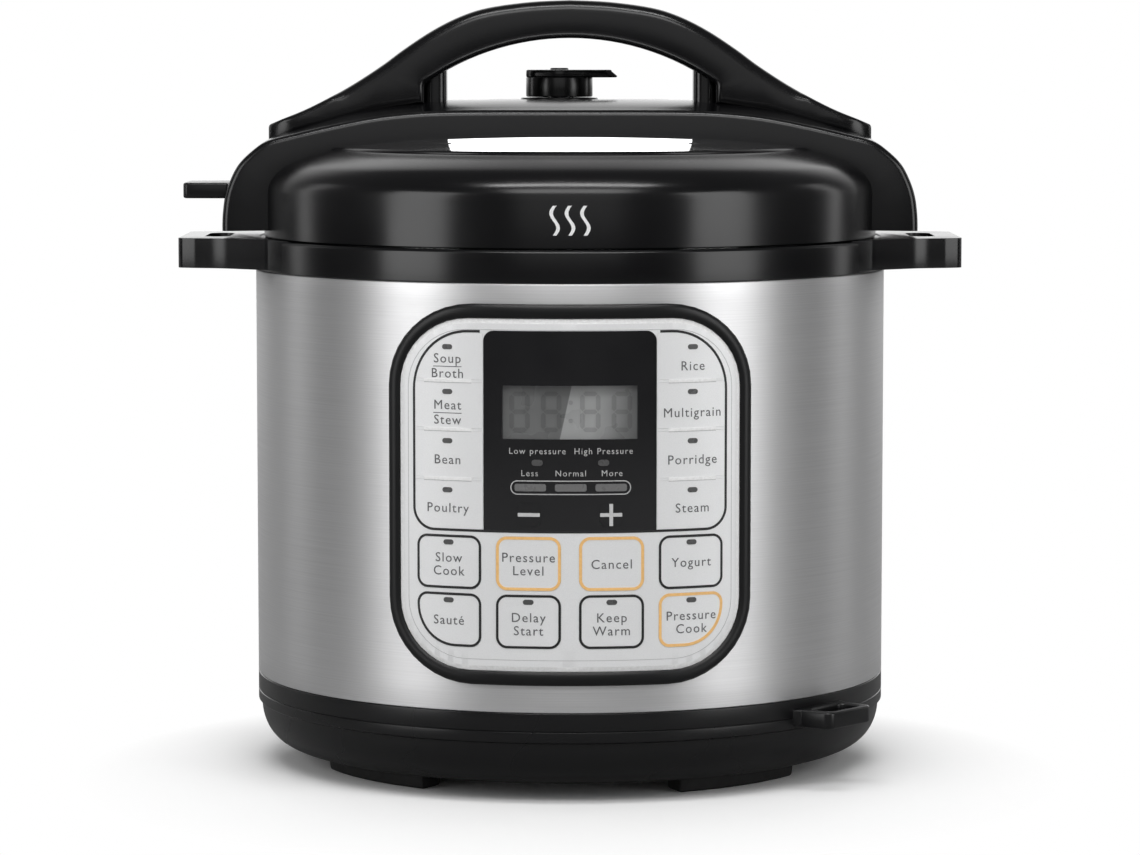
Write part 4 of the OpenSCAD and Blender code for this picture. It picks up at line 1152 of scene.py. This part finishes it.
def make_fascia():
    """The silver fascia with an opening for each key, a sloped rim and raised dividers whose white is a
    painted highlight, grey painted shade lines under the dividers and along the rim, and its printed lines.
    """
    holes = [key_outline(name, KEY_GAP) for name in KEYS]
    rim_out, rim_in = panel_outline(BEZEL_W + 0.05), panel_outline(BEZEL_W + 2.0)
    bm = sliced(sheet_with_holes(rim_in, holes + [window_outline()]))
    # The sloped rim takes material 2, the white painted highlight.
    slope = bmesh.new()
    low = [slope.verts.new((s, 0.55, z)) for s, z in rim_out]
    high = [slope.verts.new((s, 0.0, z)) for s, z in rim_in]
    bridged(slope, low, high)
    sheet = joined([bm, painted(slope, 2)])
    bmesh.ops.remove_doubles(sheet, verts=sheet.verts[:], dist=0.01)
    bmesh.ops.recalc_face_normals(sheet, faces=sheet.faces[:])
    thickened(sheet, PLATE_DEPTH)
    # A thin grey line along the rim is painted shade standing for a groove.
    parts = [sheet, painted(ribbon(panel_outline(BEZEL_W + 4.6), 0.3, 0.03, closed=True), 3)]
    for side in (-1, 1):
        path = filleted([(side * along_body(36.4), GROUP_TOP), (side * GROUP_OUT, GROUP_TOP),
                         (side * GROUP_OUT, GROUP_LOW), (side * WINDOW_HALF, GROUP_LOW)],
                        [0, GROUP_CORNER, GROUP_FOOT, 0], 16, closed=False)
        add(parts, 1, ribbon(divided(path, 2.0, closed=False), LINE_W, 0.12))
        s = side * 1.5 * KEY_PITCH
        for z in DIVIDER_Z:
            line = level_line(s - DIVIDER_HALF, s + DIVIDER_HALF, z, 2)
            # Each divider: a raised rib in the white painted highlight, with a grey painted shadow just
            # under it.
            add(parts, 2, ribbon(line, 1.3, 0.2))
            add(parts, 3, ribbon(line, 0.5, 0.1), z=-0.7)
    add(parts, 1, ribbon(level_line(-WINDOW_HALF, WINDOW_HALF, GROUP_LOW, 2), LINE_W, 0.12))
    piece("silver_fascia", wrapped(joined(parts)), [FASCIA, INK_BLACK, FASCIA_PAINTED_HIGHLIGHT, FASCIA_PAINTED_SHADE], "root",
          ["control_panel"])


def cap(outline, face, depth):
    """A key's cap in its first material, its face a little in front of the plate."""
    return painted(thickened(moved(sliced(sheet_with_holes(outline)), y=-face), depth), 0)


def make_key(name):
    """A function key: cap, outline, indicator and label."""
    label, (middle, label_z), lamp, line = KEYS[name][5:]
    parts = [cap(key_outline(name), KEY_FACE, 1.9)]
    if line:
        width = LINE_W * (1.2 if line == "amber" else 1.0)
        ring = ribbon(key_outline(name, -width / 2 - 0.03), width, 0.1, closed=True)
        add(parts, 1, ring, y=-KEY_FACE)
    if lamp:
        add(parts, 2, pill(middle, lamp, 4.4, 2.1), y=-KEY_FACE)
    ruled = name in ("key_soup", "key_meat_stew")
    text = words(label, 5.4, 1.16, 1.12 if ruled else 1.0)
    add(parts, 3, text, middle, -KEY_FACE - 0.05, label_z)
    if ruled:
        rule = level_line(middle - 6.2, middle + 6.2, label_z - 0.1, 1.5)
        add(parts, 3, ribbon(rule, 0.3, 0.06), y=-KEY_FACE)
    outline_ink = INK_AMBER if line == "amber" else INK_BLACK
    piece(name + "_cap", wrapped(joined(parts)), [FASCIA, outline_ink, LAMP_GREY, INK_GREY], name,
          [name])


def make_window():
    """The black display window: its pane with an opening over the display, and its printing."""
    pane = window_outline(0.06)
    view = divided([(-27.6, 150.5), (27.6, 150.5), (27.6, 172.2), (-27.6, 172.2)], 3)
    holes = [view] + [round_box(9.62, 9.62, 2.86, 5, s, ADJUST_Z) for s in (-ADJUST_S, ADJUST_S)]
    sheet = thickened(sliced(sheet_with_holes(pane, holes)), PLATE_DEPTH)
    parts = [painted(sheet, 0)]
    for text, s, z in (("Low pressure", -13.3, 145.6), ("High Pressure", 13.6, 145.6),
                       ("Less", -16.4, 136.6), ("Normal", 0.3, 136.6), ("More", 17.0, 136.6)):
        add(parts, 1, words(text, 3.5, 1.2), s, -0.04, z)
    for s in (-13.3, 13.6):
        add(parts, 2, pill(s, 141.0, 4.6, 2.5))
    bar = divided(round_box(48.6, 5.4, 2.6, 6, BAR_S, BAR_Z), 3)
    add(parts, 1, ribbon(bar, 0.42, 0.1, closed=True))
    for k in (-1, 0, 1):
        segment = sliced(sheet_with_holes(round_box(12.8, 3.0, 0.8, 3, BAR_S + k * 16.4, BAR_Z)), 2.0)
        add(parts, 3, thickened(segment, 0.1), y=-0.12)
    piece("display_pane", wrapped(joined(parts)), [WINDOW, INK_DIM, LAMP_GREY, BAR_GREY], "root",
          ["display_window"])


def digit(s, z, w, h, bar):
    """A figure of eight in seven slanted-ended segments."""
    out = []
    gap, half = 0.25, bar / 2
    left, right = s - w / 2 + gap, s + w / 2 - gap
    for level in (z - h / 2, z, z + h / 2):
        out.append([(left, level), (left + half, level + half), (right - half, level + half), (right, level),
                    (right - half, level - half), (left + half, level - half)])
    for x in (s - w / 2, s + w / 2):
        for base in (z - h / 2, z):
            a, b = base + gap, base + h / 2 - gap
            out.append([(x, a), (x + half, a + half), (x + half, b - half), (x, b), (x - half, b - half),
                        (x - half, a + half)])
    return [slab(p, 0.08) for p in out]


def make_display():
    """The liquid crystal cell, a little behind the window, with its unlit segments."""
    y = reach("lcd_module", 0, "y")
    ink = y - 0.09
    parts = [painted(box(-28, 28, y, y + 3.3, 148.5, 173.5), 0)]
    for s in (-20.4, -7.6, 8.2, 21.0):
        for bar in digit(s, 161.3, 6.4, 14.6, 1.9):
            add(parts, 1, bar, y=ink)
    for z in (157.6, 165.0):
        add(parts, 1, slab(round_box(1.8, 1.8, 0.8, 3, 0.3, z), 0.08), y=ink)
    piece("display_cell", joined(parts), [DISPLAY_PAINTED_GLARE, SEGMENT_PAINTED_GLARE], "root", ["lcd_module"])


def make_adjust_key(name, s, glyph_bars):
    """The minus or plus key in the window."""
    parts = [cap(round_box(9.5, 9.5, 2.8, 5, s, ADJUST_Z), 0.05, 1.8)]
    for w, h in glyph_bars:
        add(parts, 1, slab(round_box(w, h, 0.2, 3, s, ADJUST_Z), 0.08), y=-0.13)
    piece(name + "_cap", wrapped(joined(parts)), [WINDOW, GLYPH_GREY], name, [name])


# ------------------------------------------------------- pots, seal, rear cup


def make_inner_pot():
    """The spun steel pot with a rolled rim and stepped fill lines pressed into its wall."""
    low, top = span("inner_pot", "z")
    inside, floor = 110.0, low + 4.5
    outer = [(0, low)] + arc(inside + 0.8 - 13, low + 13, 13, -90, 0, 8)
    rim = filleted([(inside + 0.8, top - 1.2), (inside + 8.0, top - 1.2), (inside + 8.5, top - 0.6),
                    (inside + 8.0, top), (inside, top)], [1.0, 0.3, 0.3, 0.3, 1.4], 4, closed=False)
    marks = []
    for z in (top - 42, top - 74):
        marks += [(inside, z + 1.0), (inside - 0.25, z), (inside, z - 1.0)]
    inner = marks + arc(inside - 12, floor + 12, 12, 0, -90, 8) + [(0, floor)]
    piece("spun_inner_pot", turned(outer + rim + inner, 192), POT_STEEL, "pot",
          ["inner_pot"], 30)


def make_outer_pot():
    """The outer pot with its collar and bayonet lugs."""
    low, top = span("outer_pot", "z")
    profile = filleted([(22, low), (114, low), (114, 210.6), (128, 210.6), (128, top - 1), (131, top - 1),
                        (131, top), (127, top), (127, 211.4), (113.2, 211.4), (113.2, low + 1.2),
                        (22, low + 1.2)],
                       [0, 3, 1.5, 1.5, 0.8, 0.2, 0.2, 1.2, 1.2, 1.5, 2.4, 0], 4)
    lugs = lug_ring(124.5, 127.4, top - 2.8, top - 0.3)
    piece("outer_pot_shell", joined([turned(profile, 160), *lugs]), LINER_STEEL, "root",
          ["outer_pot"], 30)


def make_seal():
    """The silicone sealing ring with its lip and the groove that hooks on the rack."""
    low, top = span("sealing_ring", "z")
    profile = filleted([(111, low), (119.1, low), (119.1, top), (108, top), (108, 223.8), (113.8, 223.8),
                        (113.8, 221.4), (108, 221.4), (108, low + 4), (111, low + 4)],
                       [0.6, 2.0, 2.4, 1.2, 0.5, 0.6, 0.6, 0.5, 0.8, 1.2], 4)
    piece("silicone_seal", turned(profile, 160), SILICONE, "seal", ["sealing_ring"], 40)


def make_cup():
    """The clear cup at the back that catches drips, with a finger lip."""
    (y0, y1), (low, top) = span("condensation_cup", "y"), span("condensation_cup", "z")
    shell = bevelled(box(-30, 30, y0, y1 - 0.6, low, top), 3.0, 4)
    inside = bevelled(box(-28.2, 28.2, y0 + 1.8, y1 - 2.4, low + 1.8, top + 9), 2.0, 3)
    cup = carved(shell, [inside])
    lip = moved(bevelled(box(-14, 14, 0, 2.6, 0, 3.0), 0.9, 3), y=y1 - 2.6, z=top - 8)
    piece("drip_cup", joined([cup, lip]), CLEAR, "cup", ["condensation_cup"])


for make in (make_base, make_feet, make_band, make_spoon_holder, make_top_ring, make_lid_cover,
             make_steel_lid, make_bridge, make_grip, make_fin, make_knob, make_steam_mark, make_bezel,
             make_fascia, make_window, make_display, make_inner_pot, make_outer_pot, make_seal, make_cup):
    make()
for key_name in KEYS:
    make_key(key_name)
make_adjust_key("key_minus", -ADJUST_S, [(9.0, 1.5)])
make_adjust_key("key_plus", ADJUST_S, [(9.0, 1.5), (1.5, 9.0)])

# --------------------------------------------------- finishes of the CAD nodes

CAD_FINISHES = {
    SATIN_BLACK: ["cup_bay", "power_inlet"],
    ZINC: ["foot_screws", "tie_bolts", "lid_screws", "handle_screws", "vent_pipe", "valve_weight",
           "sensor_spring", "steam_shield", "seal_rack", "elastic_plate"],
    CAST_ALUMINIUM: ["heater_plate", "temperature_sensor"],
    ELEMENT: ["heating_element"],
    SWITCH: ["key_switches", "pressure_switch", "thermal_fuse"],
    CIRCUIT: ["control_board", "power_board"],
    BRASS: ["inlet_pins"],
    RED_PAINT: ["float_valve"],
    SILICONE: ["float_cap"],
}
for finish, names in CAD_FINISHES.items():
    for name in names:
        mesh = nodes[name].data
        mesh.materials.clear()
        mesh.materials.append(finish)
